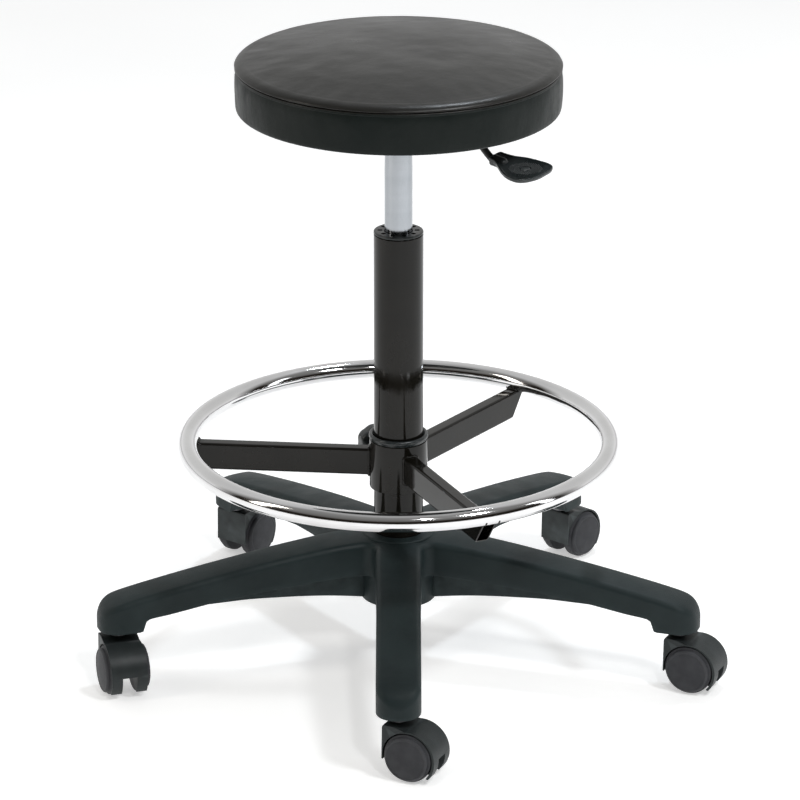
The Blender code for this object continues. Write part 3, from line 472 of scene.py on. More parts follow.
def leg_column(place, inward, spine):
    """One section of the shell, from the spine over the edge, down the wall and back under the roof."""
    foot = eased(WALL_FOOT, max(place.x, place.length if place.x < 0.06 else 0))
    column = []
    inner = place + inward * LEG_EDGE
    for k in range(7):
        point = spine.lerp(inner, k / 6)
        column.append((point.x, point.y, leg_top(point)))
    for k in range(1, 7):
        angle = radians(90 - 15 * k)
        point = place + inward * LEG_EDGE * (1 - cos(angle))
        height = leg_top(point) - LEG_EDGE * (1 - sin(angle))
        column.append((point.x, point.y, max(height, foot + 0.0012)))
    last = column[-1][2]
    for share in (0.35, 0.7):
        column.append((place.x, place.y, last + (foot + 0.0008 - last) * share))
    for inset, lift in ((0, 0.0008), (0.0003, 0.0002), (0.0008, 0), (0.0027, 0), (0.0035, 0.0006)):
        point = place + inward * inset
        column.append((point.x, point.y, foot + lift))
    solid = min(1, max(0, (place.x - SOCKET_START) / 0.006))
    for share in (0, 0.25, 0.6, 1):
        point = (place + inward * LEG_SKIN).lerp(spine, share)
        roof = leg_top(point) - LEG_SKIN
        column.append((point.x, point.y, roof + (foot + 0.0008 - roof) * solid))
    return column


def base_shell():
    """The five legs and their filleted valleys as one skin."""
    stations = leg_stations()
    columns = [leg_column(*station) for station in stations]
    bm = bmesh.new()
    for azimuth in LEG_AZIMUTHS:
        for mirror in (1, -1):
            turn = Matrix.Rotation(radians(azimuth), 3, "Z")
            rows = [[bm.verts.new(turn @ Vector((x, y * mirror, z))) for x, y, z in column]
                    for column in columns]
            for index, (near, far) in enumerate(zip(rows, rows[1:])):
                for i in range(len(near) - 1):
                    bm.faces.new((near[i], far[i], far[i + 1], near[i + 1]))
                if index < VALLEY_STEPS:
                    bm.faces.new((near[-1], far[-1], far[0], near[0]))
    bmesh.ops.remove_doubles(bm, verts=bm.verts, dist=1e-5)
    bmesh.ops.dissolve_degenerate(bm, edges=bm.edges, dist=1e-6)
    bmesh.ops.recalc_face_normals(bm, faces=bm.faces)
    return bm


def keel(azimuth):
    """The rib under the middle of a leg."""
    loops = []
    for k in range(32):
        x = KEEL_ENDS[0] + (KEEL_ENDS[1] - KEEL_ENDS[0]) * k / 31
        low = eased(RIB_FOOT, x)
        high = eased(SHOULDER, x) - 0.003
        loops.append([(x, -0.0026, high), (x, -0.0022, low + 0.0008), (x, -0.0014, low), (x, 0.0014, low),
                      (x, 0.0022, low + 0.0008), (x, 0.0026, high)])
    return moved(lofted(loops), about_z(azimuth))


def cross_ribs(azimuth):
    """The short ribs between keel and side walls."""
    parts = []
    for x in CROSS_RIBS:
        for side in (1, -1):
            low = eased(WALL_FOOT, x) + 0.006
            high = eased(SHOULDER, x) - 0.003
            loops = [[(x - 0.0011, y * side, low), (x + 0.0011, y * side, low), (x + 0.0014, y * side, high),
                      (x - 0.0014, y * side, high)] for y in (0.002, leg_half(x) - 0.0028)]
            parts.append(lofted(loops))
    return moved(joined(*parts), about_z(azimuth))


def star_base():
    """The moulded base: shell, keels, ribs and the hub tube."""
    hub = turned([(BORE, 0.0628), (BORE + 0.0008, 0.062), (HUB_RADIUS - 0.0008, 0.062), (HUB_RADIUS, 0.0628),
                  (HUB_RADIUS, 0.133), (HUB_RADIUS - 0.0003, 0.1338), (HUB_RADIUS - 0.0011, 0.1343),
                  (HUB_RADIUS - 0.002, 0.1345), (BORE + 0.0012, 0.1345), (BORE + 0.0004, 0.1342),
                  (BORE, 0.1334)], 96, closed=True)
    parts = [base_shell(), hub]
    for azimuth in LEG_AZIMUTHS:
        parts += [keel(azimuth), cross_ribs(azimuth)]
        collar = turned([(0.0058, 0.064), (0.0112, 0.064), (0.0118, 0.0646), (0.0118, 0.07),
                         (0.0058, 0.07)], 40, closed=True)
        parts.append(moved(collar, Matrix.Translation(direction(azimuth) * CASTER_REACH)))
    add("base_moulding", joined(*parts), NYLON, "star_base", sharp=40)


star_base()


# ---------- column and gas lift
TUBE_RADIUS = 0.025
TUBE_WALL = 0.0018
TUBE_TOP = 0.4534
BUSH_BORE = 0.0143
POCKETS = 10
CYLINDER_RADIUS = 0.014
CYLINDER_LOW, CYLINDER_SHOULDER = 0.226, 0.5225


def column_tube():
    """The outer tube with its closed foot."""
    low = COLUMN_BOTTOM + 0.0006
    outline = [(0.006, COLUMN_BOTTOM), (TUBE_RADIUS - 0.0006, COLUMN_BOTTOM)]
    outline += [(TUBE_RADIUS, low + (TUBE_TOP - 0.0006 - low) * k / 24) for k in range(25)]
    outline += [(TUBE_RADIUS - 0.0004, TUBE_TOP), (TUBE_RADIUS - TUBE_WALL, TUBE_TOP),
                (TUBE_RADIUS - TUBE_WALL, COLUMN_BOTTOM + 0.003), (0.006, COLUMN_BOTTOM + 0.003)]
    add("column_outer_tube", turned(outline, 96, closed=True), PAINT, "column_tube")


def guide_bush():
    """The bush in the tube's mouth, with a ring of pockets in its flange."""
    inner = TUBE_RADIUS - TUBE_WALL - 0.0003
    flange = TUBE_TOP + 0.0005
    lip = flange + 0.0029
    outline = [(BUSH_BORE, 0.3765), (inner, 0.376), (inner, flange), (TUBE_RADIUS - 0.0006, flange),
               (TUBE_RADIUS, flange + 0.0006), (TUBE_RADIUS, lip - 0.0012),
               (TUBE_RADIUS - 0.0004, lip - 0.0004), (TUBE_RADIUS - 0.0013, lip), (BUSH_BORE + 0.001, lip),
               (BUSH_BORE + 0.0003, lip - 0.0003), (BUSH_BORE, lip - 0.001)]
    pockets = []
    for k in range(POCKETS):
        shape = bmesh.new()
        bmesh.ops.create_cube(shape, size=1, matrix=Matrix.Translation((0.0185, 0, lip))
                              @ Matrix.Diagonal((0.005, 0.004, 0.034, 1)))
        bmesh.ops.bevel(shape, geom=shape.edges, offset=0.0005, segments=2, affect="EDGES")
        pockets.append(moved(shape, about_z(360 * k / POCKETS)))
    add("guide_bush_moulding", combined(turned(outline, 96, closed=True), pockets), PLASTIC, "guide_bush")


def gas_cylinder():
    """The ground cylinder with its tapered top."""
    outline = [(0, CYLINDER_LOW), (0.0132, CYLINDER_LOW - 0.001), (0.0138, CYLINDER_LOW - 0.0006)]
    length = CYLINDER_SHOULDER - CYLINDER_LOW
    outline += [(CYLINDER_RADIUS, CYLINDER_LOW + length * k / 24) for k in range(25)]
    outline += [(0.01395, 0.524), (0.0131, 0.5618), (0.0128, 0.5626), (0.012, 0.563), (0.0048, 0.563),
                (0.0043, 0.5625), (0.0043, 0.546), (0, 0.546)]
    add("gas_lift_cylinder", turned(outline, 96), STEEL, "gas_cylinder")


column_tube()
guide_bush()
gas_cylinder()

# ---------- seat
SEAT_LINE = ((0.127, 0.585), (0.14, 0.585), (0.153, 0.585), (0.1578, 0.5851), (0.1601, 0.586),
             (0.1612, 0.588), (0.1616, 0.593), (0.1618, 0.599), (0.1619, 0.6055), (0.1619, 0.612),
             (0.1617, 0.618), (0.1613, 0.6215), (0.1609, 0.6236), (0.16075, 0.624), (0.161, 0.6245),
             (0.1612, 0.625), (0.161, 0.6255), (0.1616, 0.626), (0.1618, 0.6265), (0.1614, 0.6271),
             (0.1607, 0.62745), (0.16025, 0.6277), (0.1607, 0.62795), (0.1615, 0.6284), (0.162, 0.6291),
             (0.1618, 0.6299), (0.1608, 0.6312), (0.1593, 0.6324), (0.1573, 0.63345), (0.155, 0.6342),
             (0.152, 0.6349), (0.148, 0.63565), (0.143, 0.6364))
WELT_LOW, WELT_HIGH = 0.6255, 0.6278
SEAT_SIDES = 216
SEAT_UNDER = 0.585
LONGEST_SWELL = 0.0035
FOLDS = 44


def crown(radius):
    """Height of the seat's top."""
    return 0.6457 - 0.0093 * (radius / 0.143) ** 2.46


def seat_profile():
    """The cushion from its wrapped edge, up the side and over the top to the middle."""
    line = rounded(SEAT_LINE, 3)
    radii = [0.1385 * (1 - k / 34) for k in range(34)]
    line += [(radius, crown(radius)) for radius in radii]
    return line + [(0, crown(0))]


def swell():
    """Let air pressure fill a cloth copy of the cushion. Returns its rest points and how far each moved."""
    blank = [(0, 0.5853), (0.12, 0.5853), (0.152, 0.5853), (0.1585, 0.588), (0.1602, 0.605),
             (0.159, 0.622), (0.1565, 0.6285), (0.15, 0.6315), (0.13, 0.637), (0.1, 0.641),
             (0.06, 0.644), (0, 0.645)]
    bm = turned(blank, 72)
    mesh = bpy.data.meshes.new("swell")
    bm.to_mesh(mesh)
    bm.free()
    bag = placed("swell", mesh)
    step = bag.modifiers.new("remesh", "REMESH")
    step.mode = "VOXEL"
    step.voxel_size = 0.0055
    bpy.context.view_layer.update()
    solid = bpy.data.meshes.new_from_object(bag.evaluated_get(bpy.context.evaluated_depsgraph_get()))
    bag.modifiers.remove(step)
    bag.data = solid
    rest = np.array([v.co for v in solid.vertices], float)
    held = bag.vertex_groups.new(name="held")
    for index, (x, y, z) in enumerate(rest):
        seam = abs(z - 0.6265) < 0.003 and hypot(x, y) > 0.154
        if z < 0.592 or seam:
            held.add([index], 1 if z < 0.592 else 0.75, "REPLACE")
    cloth = bag.modifiers.new("cloth", "CLOTH")
    cloth.settings.use_pressure = True
    cloth.settings.uniform_pressure_force = 4
    cloth.settings.vertex_group_mass = "held"
    cloth.settings.effector_weights.gravity = 0
    cloth.settings.tension_stiffness = 25
    cloth.settings.compression_stiffness = 25
    cloth.settings.bending_stiffness = 1.5
    cloth.point_cache.frame_start = 1
    cloth.point_cache.frame_end = 20
    for number in range(1, 21):
        bpy.context.scene.frame_set(number)
    evaluated = bag.evaluated_get(bpy.context.evaluated_depsgraph_get())
    after = np.array([v.co for v in evaluated.data.vertices], float)
    bpy.data.objects.remove(bag)
    bpy.context.scene.frame_set(1)
    return rest, after - rest


def seat_cushion():
    """The padded vinyl seat: swollen top and band, sunk seam with a welt, and faint wrinkles."""
    bm = turned(seat_profile(), SEAT_SIDES)
    rest, shift = swell()
    length = np.linalg.norm(shift, axis=1)
    shift *= np.minimum(1, LONGEST_SWELL / np.maximum(length, 1e-9))[:, None]
    tree = KDTree(len(rest))
    for index, point in enumerate(rest):
        tree.insert(point, index)
    tree.balance()
    mean = {}
    for vert in bm.verts:
        found = tree.find_n(vert.co, 8)
        weights = [1 / (distance + 0.002) for _, _, distance in found]
        move = sum((Vector(shift[index]) * w for (_, index, _), w in zip(found, weights)), Vector())
        mean[vert.index] = move / sum(weights)
    for vert in bm.verts:
        radius = hypot(vert.co.x, vert.co.y)
        soft = 1 if radius < 0.152 else 0.45
        near_seam = min(1, abs(vert.co.z - 0.6268) / 0.006) if radius > 0.15 else 1
        if vert.co.z < 0.592:
            near_seam = 0
        vert.co += mean[vert.index] * soft * near_seam * 0.55
    for vert in bm.verts:
        radius = hypot(vert.co.x, vert.co.y)
        outward = Vector((vert.co.x, vert.co.y, 0)).normalized() if radius > 1e-6 else Vector()
        angle = atan2(vert.co.y, vert.co.x)
        ring = Vector((cos(angle) * 5, sin(angle) * 5, vert.co.z * 30))
        if vert.co.z > 0.6315:
            broad = noise.noise(vert.co * 22) * 0.00055 + noise.noise(vert.co * 60 + TOP) * 0.00022
            pucker = noise.noise(Vector((cos(angle) * 12, sin(angle) * 12, 0)))
            rim = max(0, (radius - 0.118) / 0.042)
            vert.co.z += broad * min(1, (0.162 - radius) / 0.02) + pucker * 0.0005 * rim * (1 - rim) * 3
        elif vert.co.z > 0.6285:
            vert.co += outward * noise.noise(ring * 2) * 0.0003
        elif vert.co.z > WELT_HIGH - 0.0004:
            vert.co.z += noise.noise(ring) * 0.0001
        elif vert.co.z > WELT_LOW:
            vert.co += outward * noise.noise(ring * 3) * 0.00015
        elif vert.co.z > 0.588:
            share = (vert.co.z - 0.588) / (WELT_LOW - 0.588)
            pull = noise.noise(Vector((cos(angle) * 9, sin(angle) * 9, vert.co.z * 14)))
            vert.co += outward * pull * 0.0007 * sin(pi * min(1, max(0, share)))
    inner = turned([(0.127, SEAT_UNDER), (0.127, 0.5861), (0, 0.5861)], SEAT_SIDES)
    made = add("seat_cushion", joined(bm, inner), VINYL, "seat_cover", ("seat_cover", "seat_foam"),
               sharp=75)
    # Faces below the seam take the band's darker vinyl: painted shade on the cushion's side.
    made.data.materials.append(BAND_PAINTED_SHADE)
    for face in made.data.polygons:
        if face.center.z < 0.6266:
            face.material_index = 1


seat_cushion()


def wrap_detail():
    """Folds of the cover's wrapped edge under the board, and the staples that hold it."""
    loops = []
    count = FOLDS * 6
    for k in range(count):
        angle = 2 * pi * k / count
        fold = max(0, sin(FOLDS * angle / 2)) ** 3
        radial = Vector((cos(angle), sin(angle), 0))
        row = []
        for radius, depth in ((0.1272, 0.2), (0.1285, 0.9), (0.135, 1), (0.143, 0.7), (0.151, 0.3),
                              (0.156, 0)):
            row.append(radial * radius + TOP * (SEAT_UNDER - 0.0002 - 0.0012 * fold * depth))
        for radius in (0.156, 0.1272):
            row.append(radial * radius + TOP * 0.5856)
        loops.append(row)
    # The folds take the band's darker vinyl, with its painted shade.
    add("cover_folds", lofted(loops, ring=True), BAND_PAINTED_SHADE, "seat_cover", replaced=(), sharp=60)
    parts = []
    for k in range(FOLDS):
        angle = 360 * (k + 0.5) / FOLDS
        wire = piped([(0, -0.0052, 0.002), (0, -0.005, 0), (0, -0.0044, -0.0004),
                      (0, 0.0044, -0.0004), (0, 0.005, 0), (0, 0.0052, 0.002)], 0.00045, 6)
        parts.append(moved(wire, about_z(angle) @ Matrix.Translation((0.1315, 0, 0.5846))))
    add("staples", joined(*parts), STEEL, "seat_board", replaced=())


wrap_detail()

# ---------- lever
LEVER_AZIMUTH = -36
LEVER_HEIGHT = 0.5735
LEVER_SLOPE = tan(radians(43.5))
LEVER_RADIUS = 0.0036
BEND_START = 0.09
PADDLE_SLOPE = 8
DOT_PITCH = 0.002
DOT_LIMIT = 10
DOTS_TURN = 53
PADDLE_START = 0.1125
PADDLE_DROP = LEVER_HEIGHT - (PADDLE_START - BEND_START) * LEVER_SLOPE
PADDLE_EDGES = ((0.0012, -0.0066, 0.011), (0.006, -0.0074, 0.013), (0.011, -0.0088, 0.0152),
                (0.018, -0.014, 0.019), (0.025, -0.0192, 0.0226), (0.033, -0.0233, 0.025),
                (0.041, -0.0246, 0.0264), (0.048, -0.023, 0.0272), (0.0535, -0.0172, 0.0262),
                (0.057, -0.009, 0.0226), (0.0588, -0.001, 0.0165))


def paddle_frame():
    """Matrix of the paddle: X along it, Y across it."""
    slope = Matrix.Rotation(radians(PADDLE_SLOPE), 4, "Y")
    roll = Matrix.Rotation(radians(5), 4, "X")
    return about_z(LEVER_AZIMUTH) @ Matrix.Translation((PADDLE_START, 0, PADDLE_DROP)) @ slope @ roll


def lever_bar():
    """The bent rod."""
    slope = radians(PADDLE_SLOPE)
    reach = 0.0125 * cos(slope)
    corners = [(-0.006, LEVER_HEIGHT), (BEND_START - 0.008, LEVER_HEIGHT),
               (BEND_START - 0.003, LEVER_HEIGHT - 0.0005), (BEND_START + 0.002, LEVER_HEIGHT - 0.0032),
               (BEND_START + 0.007, LEVER_HEIGHT - 0.007 * LEVER_SLOPE),
               (PADDLE_START - 0.006, PADDLE_DROP + 0.006 * LEVER_SLOPE),
               (PADDLE_START - 0.0015, PADDLE_DROP + 0.0019), (PADDLE_START, PADDLE_DROP + 0.0006),
               (PADDLE_START + 0.003, PADDLE_DROP - 0.0004),
               (PADDLE_START + reach, PADDLE_DROP - reach * tan(slope))]
    path = [(x, 0, z) for x, z in rounded(corners, 4)]
    bar = moved(piped(path, LEVER_RADIUS, 28), about_z(LEVER_AZIMUTH))
    add("lever_bar", bar, SATIN, "lever_rod", sharp=50)


def paddle_outline():
    """Closed outline of the hand plate, seen from above."""
    near = [(x, y) for x, y, _ in PADDLE_EDGES]
    far = [(x, y) for x, _, y in PADDLE_EDGES]
    loop = near + [(0.059, 0.008)] + far[::-1] + [(0.0004, 0.002)]
    count = len(loop)
    return [Vector(between(*(loop[(k + i) % count] for i in (-1, 0, 1, 2)), step / 5))
            for k in range(count) for step in range(5)]


def lever_handle():
    """The hand plate: a fan with a raised rim and a boss beneath it."""
    outline = paddle_outline()
    middle = Vector((0.034, 0.0015))
    low = -0.0014
    top = 0.0026

    def loop(inset, height):
        points = []
        for point in outline:
            inward = (middle - point).normalized()
            spot = point + inward * inset
            points.append((spot.x, spot.y, height))
        return points

    def shrunk(share, height):
        return [(*(middle + (point - middle) * share), height) for point in outline]

    loops = [shrunk(0.25, low + 0.0008), shrunk(0.6, low + 0.0006), loop(0.0022, low),
             loop(0.001, low + 0.0002), loop(0.0004, low + 0.0007), loop(0.0001, low + 0.0016),
             loop(0, top - 0.0008), loop(0.0002, top - 0.0001), loop(0.0007, top + 0.0003),
             loop(0.0013, top + 0.0003), loop(0.002, top), loop(0.0026, top - 0.0005),
             loop(0.0034, top - 0.0008), shrunk(0.72, top - 0.001), shrunk(0.45, top - 0.0012),
             shrunk(0.2, top - 0.0013)]
    plate = lofted(loops)
    for vert in plate.verts:
        share = min(1, max(0, vert.co.x / 0.019))
        vert.co.z += 0.002 * (1 - share * share * (3 - 2 * share))
    boss = turned([(0, 0), (0.0045, 0), (0.0054, 0.0003), (0.0058, 0.0012), (0.0058, 0.012),
                   (0.0054, 0.0145), (0.004, 0.0168), (0, 0.0175)], 32)
    boss = moved(boss, Matrix.Translation((0.0005, 0, 0)) @ Matrix.Rotation(pi / 2, 4, "Y"))
    body = moved(joined(plate, boss), paddle_frame())
    add("lever_handle", body, PLASTIC, "lever_paddle", sharp=50)
    grip_dots(top - 0.001)


def grip_dots(height):
    """The thumb pad in the hand plate: a ring of dots round a smooth middle."""
    parts = []
    centre = Vector((0.0379, 0.0031))
    long_way = direction(DOTS_TURN).xy
    for row in range(-DOT_LIMIT, DOT_LIMIT + 1):
        for column in range(-DOT_LIMIT, DOT_LIMIT + 1):
            spot = Vector((row * DOT_PITCH * 0.87, (column + 0.5 * (row % 2)) * DOT_PITCH))
            along = spot.dot(long_way)
            across = spot.x * long_way.y - spot.y * long_way.x
            outer = (along / 0.0168) ** 2 + (across / 0.0125) ** 2
            inner = (along / 0.0062) ** 2 + (across / 0.004) ** 2
            if outer < 1 < inner:
                dot = turned([(0, 0.0008), (0.0003, 0.00074), (0.00054, 0.0005), (0.00066, 0),
                              (0.00068, -0.0006), (0, -0.0006)], 8)
                parts.append(moved(dot, Matrix.Translation((*(centre + spot), height))))
    pad = turned([(0, 0.00045), (0.7, 0.0004), (0.92, 0.0002), (1, -0.0006), (0, -0.0006)], 40)
    parts.append(moved(pad, Matrix.Translation((*centre, height)) @ about_z(DOTS_TURN)
                       @ Matrix.Diagonal((0.005, 0.003, 1, 1))))
    pad_and_dots = moved(joined(*parts), paddle_frame())
    # The pad and its dots take the lighter grip colour, a painted glint.
    add("handle_grip_dots", pad_and_dots, GRIP_PAINTED_GLINT, "lever_paddle", replaced=(), sharp=60)


lever_bar()
lever_handle()

# ---------- foot ring
RING_RADIUS = 0.2143
RING_TUBE = 0.0098
RING_HEIGHT = 0.2297
SPOKES = (174.5, 54.5, -65.5)
SPOKE_TOP, SPOKE_BOTTOM, SPOKE_HALF = 0.2233, 0.1948, 0.00725
SPOKE_START = 0.0288
SLEEVE_RADIUS, SLEEVE_BORE, SLEEVE_LOW, SLEEVE_HIGH = 0.0296, 0.0269, 0.183, 0.2342
LINER_BORE = 0.0254
KNOB_AZIMUTH, KNOB_HEIGHT = 114.5, 0.209


def ring_tube():
    """The chromed ring, with the flattened seam of its butt weld."""
    loops = []
    for k in range(240):
        angle = 2 * pi * k / 240
        weld = 0.00018 * exp(-((degrees(angle) - 95) / 0.9) ** 2)
        radial = Vector((cos(angle), sin(angle), 0))
        row = []
        for i in range(32):
            a = 2 * pi * i / 32
            size = RING_TUBE + weld
            row.append(radial * (RING_RADIUS + size * cos(a))
                       + TOP * (RING_HEIGHT + size * sin(a)))
        loops.append(row)
    add("foot_ring_tube", lofted(loops, ring=True), CHROME, "foot_ring")


def spoke_section(x_top, x_bottom, inset, corner):
    """Points round the spoke's section, with round corners."""
    half = SPOKE_HALF - inset
    low, high = SPOKE_BOTTOM + inset, SPOKE_TOP - inset
    slant = (x_top - x_bottom) / (SPOKE_TOP - SPOKE_BOTTOM)
    points = []
    for y_side, z_side, start in ((1, 1, 0), (-1, 1, 90), (-1, -1, 180), (1, -1, 270)):
        centre_y = y_side * (half - corner)
        centre_z = high - corner if z_side > 0 else low + corner
        for step in range(5):
            angle = radians(start + 22.5 * step)
            y = centre_y + corner * cos(angle)
            z = centre_z + corner * sin(angle)
            points.append((x_bottom + (z - SPOKE_BOTTOM) * slant, y, z))
    return points


def spokes():
    """Three rectangular tubes with slanted open ends, welded to the sleeve and under the ring."""
    start = SPOKE_START
    for number, azimuth in enumerate(SPOKES, start=1):
        turn = about_z(azimuth)
        loops = [spoke_section(start, start, 0, 0.0026)]
        loops += [spoke_section(x, x, 0, 0.0026) for x in (0.05, 0.09, 0.13, 0.17, 0.19)]
        loops += [spoke_section(0.2168, 0.1958, 0, 0.0026), spoke_section(0.2172, 0.1962, 0.0005, 0.0023),
                  spoke_section(0.2172, 0.1962, 0.0014, 0.0016),
                  spoke_section(0.2166, 0.1956, 0.0018, 0.0012), spoke_section(0.15, 0.15, 0.0018, 0.0012),
                  spoke_section(start, start, 0.0018, 0.0012)]
        tube = moved(lofted(loops, ring=True), turn)
        add(f"spoke_{number}", tube, PAINT, f"ring_spoke_{number}", sharp=50)
        beads = []
        x = SLEEVE_RADIUS + 0.0004
        rim = []
        for point in spoke_section(x, x, -0.0003, 0.0026):
            bulge = sqrt(max(0, SLEEVE_RADIUS ** 2 - point[1] ** 2))
            rim.append((bulge + 0.0006, point[1], point[2]))
        fine = []
        for a, b in zip(rim, rim[1:] + rim[:1]):
            steps = max(1, int((Vector(b) - Vector(a)).length / 0.0007))
            fine += [Vector(a).lerp(Vector(b), k / steps) for k in range(steps)]
        beads.append(piped_loop(fine, 0.0015, 0.22, 4))
        for side in (1, -1):
            saddle = []
            for k in range(17):
                reach = -0.0085 + 0.017 * k / 16
                drop = sqrt(RING_TUBE ** 2 - reach ** 2) * 0.9
                saddle.append((RING_RADIUS + reach, side * (SPOKE_HALF - 0.0002), RING_HEIGHT - drop))
            beads.append(piped(saddle, 0.0011, 10, ripple=0.2, pitch=3))
        cross = [(RING_RADIUS - 0.0092, -SPOKE_HALF + 0.001 + (2 * SPOKE_HALF - 0.002) * k / 14,
                  SPOKE_TOP + 0.0004) for k in range(15)]
        beads.append(piped(cross, 0.0012, 10, ripple=0.2, pitch=3))
        add(f"spoke_welds_{number}", moved(joined(*beads), turn), PAINT, f"ring_spoke_{number}", replaced=(),
            sharp=60)


def piped_loop(path, radius, ripple, pitch):
    """A closed bead round a path that may run upright."""
    loops = []
    count = len(path)
    for index, point in enumerate(path):
        along = (path[(index + 1) % count] - path[index - 1]).normalized()
        side = Vector((1, 0, 0))
        side = (side - along * side.dot(along)).normalized()
        up = side.cross(along)
        wave = sin(2 * pi * index / pitch) * (0.6 + 0.4 * noise.noise(point * 300))
        size = radius * (1 + ripple * wave)
        loops.append([point + size * (side * cos(a) + up * sin(a))
                      for a in (2 * pi * (k + 0.5) / 10 for k in range(10))])
    return lofted(loops, ring=True)


def knob_frame(start):
    """Matrix of the clamp's axis, from a distance from the column's axis outward."""
    return (about_z(KNOB_AZIMUTH) @ Matrix.Translation((start, 0, KNOB_HEIGHT))
            @ Matrix.Rotation(pi / 2, 4, "Y"))


def sleeve():
    """The sleeve on the column with its threaded boss, and the liner's glossy lip on top."""
    outline = [(SLEEVE_BORE, SLEEVE_LOW), (SLEEVE_RADIUS - 0.0008, SLEEVE_LOW),
               (SLEEVE_RADIUS - 0.0002, SLEEVE_LOW + 0.0002), (SLEEVE_RADIUS, SLEEVE_LOW + 0.0008),
               (SLEEVE_RADIUS, 0.2), (SLEEVE_RADIUS, 0.217),
               (SLEEVE_RADIUS, SLEEVE_HIGH - 0.001), (SLEEVE_RADIUS - 0.0003, SLEEVE_HIGH - 0.0003),
               (SLEEVE_RADIUS - 0.0009, SLEEVE_HIGH), (SLEEVE_BORE, SLEEVE_HIGH)]
    boss = turned([(0.0043, 0), (0.0095, 0), (0.0095, 0.0092), (0.0092, 0.0101), (0.0085, 0.0105),
                   (0.0043, 0.0105)], 48, closed=True)
    tube = turned(outline, 96, closed=True)
    add("ring_sleeve", joined(tube, moved(boss, knob_frame(0.0282))), PAINT, "ring_hub")
    body = SLEEVE_BORE - 0.0003
    low = SLEEVE_HIGH + 0.0003
    lip = [(LINER_BORE, SLEEVE_LOW + 0.001), (body, SLEEVE_LOW + 0.001), (body, low), (0.029, low)]
    for k in range(13):
        angle = radians(-50 + 190 * k / 12)
        lip.append((0.0281 + 0.00215 * cos(angle), low + 0.0034 + 0.0027 * sin(angle)))
    lip += [(0.0262, low + 0.0046), (LINER_BORE, low + 0.0038)]
    add("liner_lip", turned(lip, 96, closed=True), PLASTIC, "ring_bush")


def knob():
    """The lobed clamp knob, with a rounded rim and a shallow dish in its face, and its threaded stem."""
    sides = 96
    loops = []
    for level, scale in ((0, 0.55), (0.0004, 0.74), (0.0016, 0.8), (0.003, 0.93), (0.005, 0.99),
                         (0.0075, 1), (0.013, 1), (0.0155, 0.985), (0.0172, 0.93), (0.0179, 0.84),
                         (0.018, 0.72), (0.0172, 0.66), (0.0168, 0.5), (0.0167, 0.2)):
        row = []
        for k in range(sides):
            angle = 2 * pi * k / sides
            lobe = 0.0014 * ((1 - cos(6 * angle)) / 2) ** 1.4
            radius = (0.0175 - lobe * min(1, scale ** 3)) * scale
            row.append((radius * cos(angle), radius * sin(angle), level))
        loops.append(row)
    add("clamp_hand_knob", moved(lofted(loops), knob_frame(0.05)), PLASTIC, "clamp_knob", sharp=50)
    ridges = [(0, 0), (0.0033, 0)]
    z = 0.0002
    while z < 0.0335:
        ridges += [(0.0034, z), (0.004, z + 0.0006)]
        z += 0.0012
    ridges += [(0.0034, 0.0345), (0, 0.0345)]
    stem = moved(turned(ridges, 28), knob_frame(0.027))
    add("clamp_threaded_stem", stem, DARK_STEEL, "clamp_screw")


ring_tube()
spokes()
sleeve()
knob()

# ---------- casters
WHEEL_RADIUS = 0.025
AXLE_HEIGHT = 0.0275
TRAIL = 0.0175
CASTER_YAWS = (-25, -25, 49, 55, -72)
HOOD_TOP = 0.0583
HOOD_FRONT = -0.0098
HOOD_HALF = 0.0185
HOOD_WEB = 0.0088
WHEEL_ARCH = 0.0263
CUT_LENGTH = 0.03


def hood_shape():
    """The hood: a curved cover over both wheels with a boss for the stem and a web for the axle."""
    arc_x, arc_z, arc = TRAIL + 0.0008, 0.027, 0.028
    outline = [(HOOD_FRONT, 0.0225), (HOOD_FRONT + 0.0005, HOOD_TOP - 0.0022),
               (HOOD_FRONT + 0.0012, HOOD_TOP - 0.0006), (HOOD_FRONT + 0.0027, HOOD_TOP),
               (0.003, HOOD_TOP - 0.0003), (0.0085, HOOD_TOP - 0.0016)]
    for k in range(24):
        angle = radians(98 - 6 * k)
        outline.append((arc_x + arc * cos(angle), arc_z + arc * sin(angle)))
    outline += [(TRAIL + 0.0165, 0.0105), (TRAIL + 0.0085, 0.0198), (TRAIL, 0.0212)]
    bm = bmesh.new()
    face = bm.faces.new([bm.verts.new((x, -HOOD_HALF, z)) for x, z in outline])
    grown = bmesh.ops.extrude_face_region(bm, geom=[face])
    far = [item for item in grown["geom"] if isinstance(item, bmesh.types.BMVert)]
    bmesh.ops.translate(bm, verts=far, vec=(0, 2 * HOOD_HALF, 0))
    bmesh.ops.recalc_face_normals(bm, faces=bm.faces)
    across = Matrix.Rotation(pi / 2, 4, "X")
    cuts = []
    for side in (1, -1):
        far_end = side * (HOOD_WEB + CUT_LENGTH / 2) + CUT_LENGTH / 2
        place = Matrix.Translation((TRAIL, far_end, AXLE_HEIGHT))
        cuts.append(moved(moved(rod(WHEEL_ARCH, CUT_LENGTH, 72), across), place))
    slot_cut = bmesh.new()
    bmesh.ops.create_cube(slot_cut, size=1, matrix=Matrix.Translation((TRAIL + 0.02, 0, 0.003))
                          @ Matrix.Diagonal((0.03, 0.015, 0.05, 1)))
    cuts.append(slot_cut)
    return combined(bm, cuts)


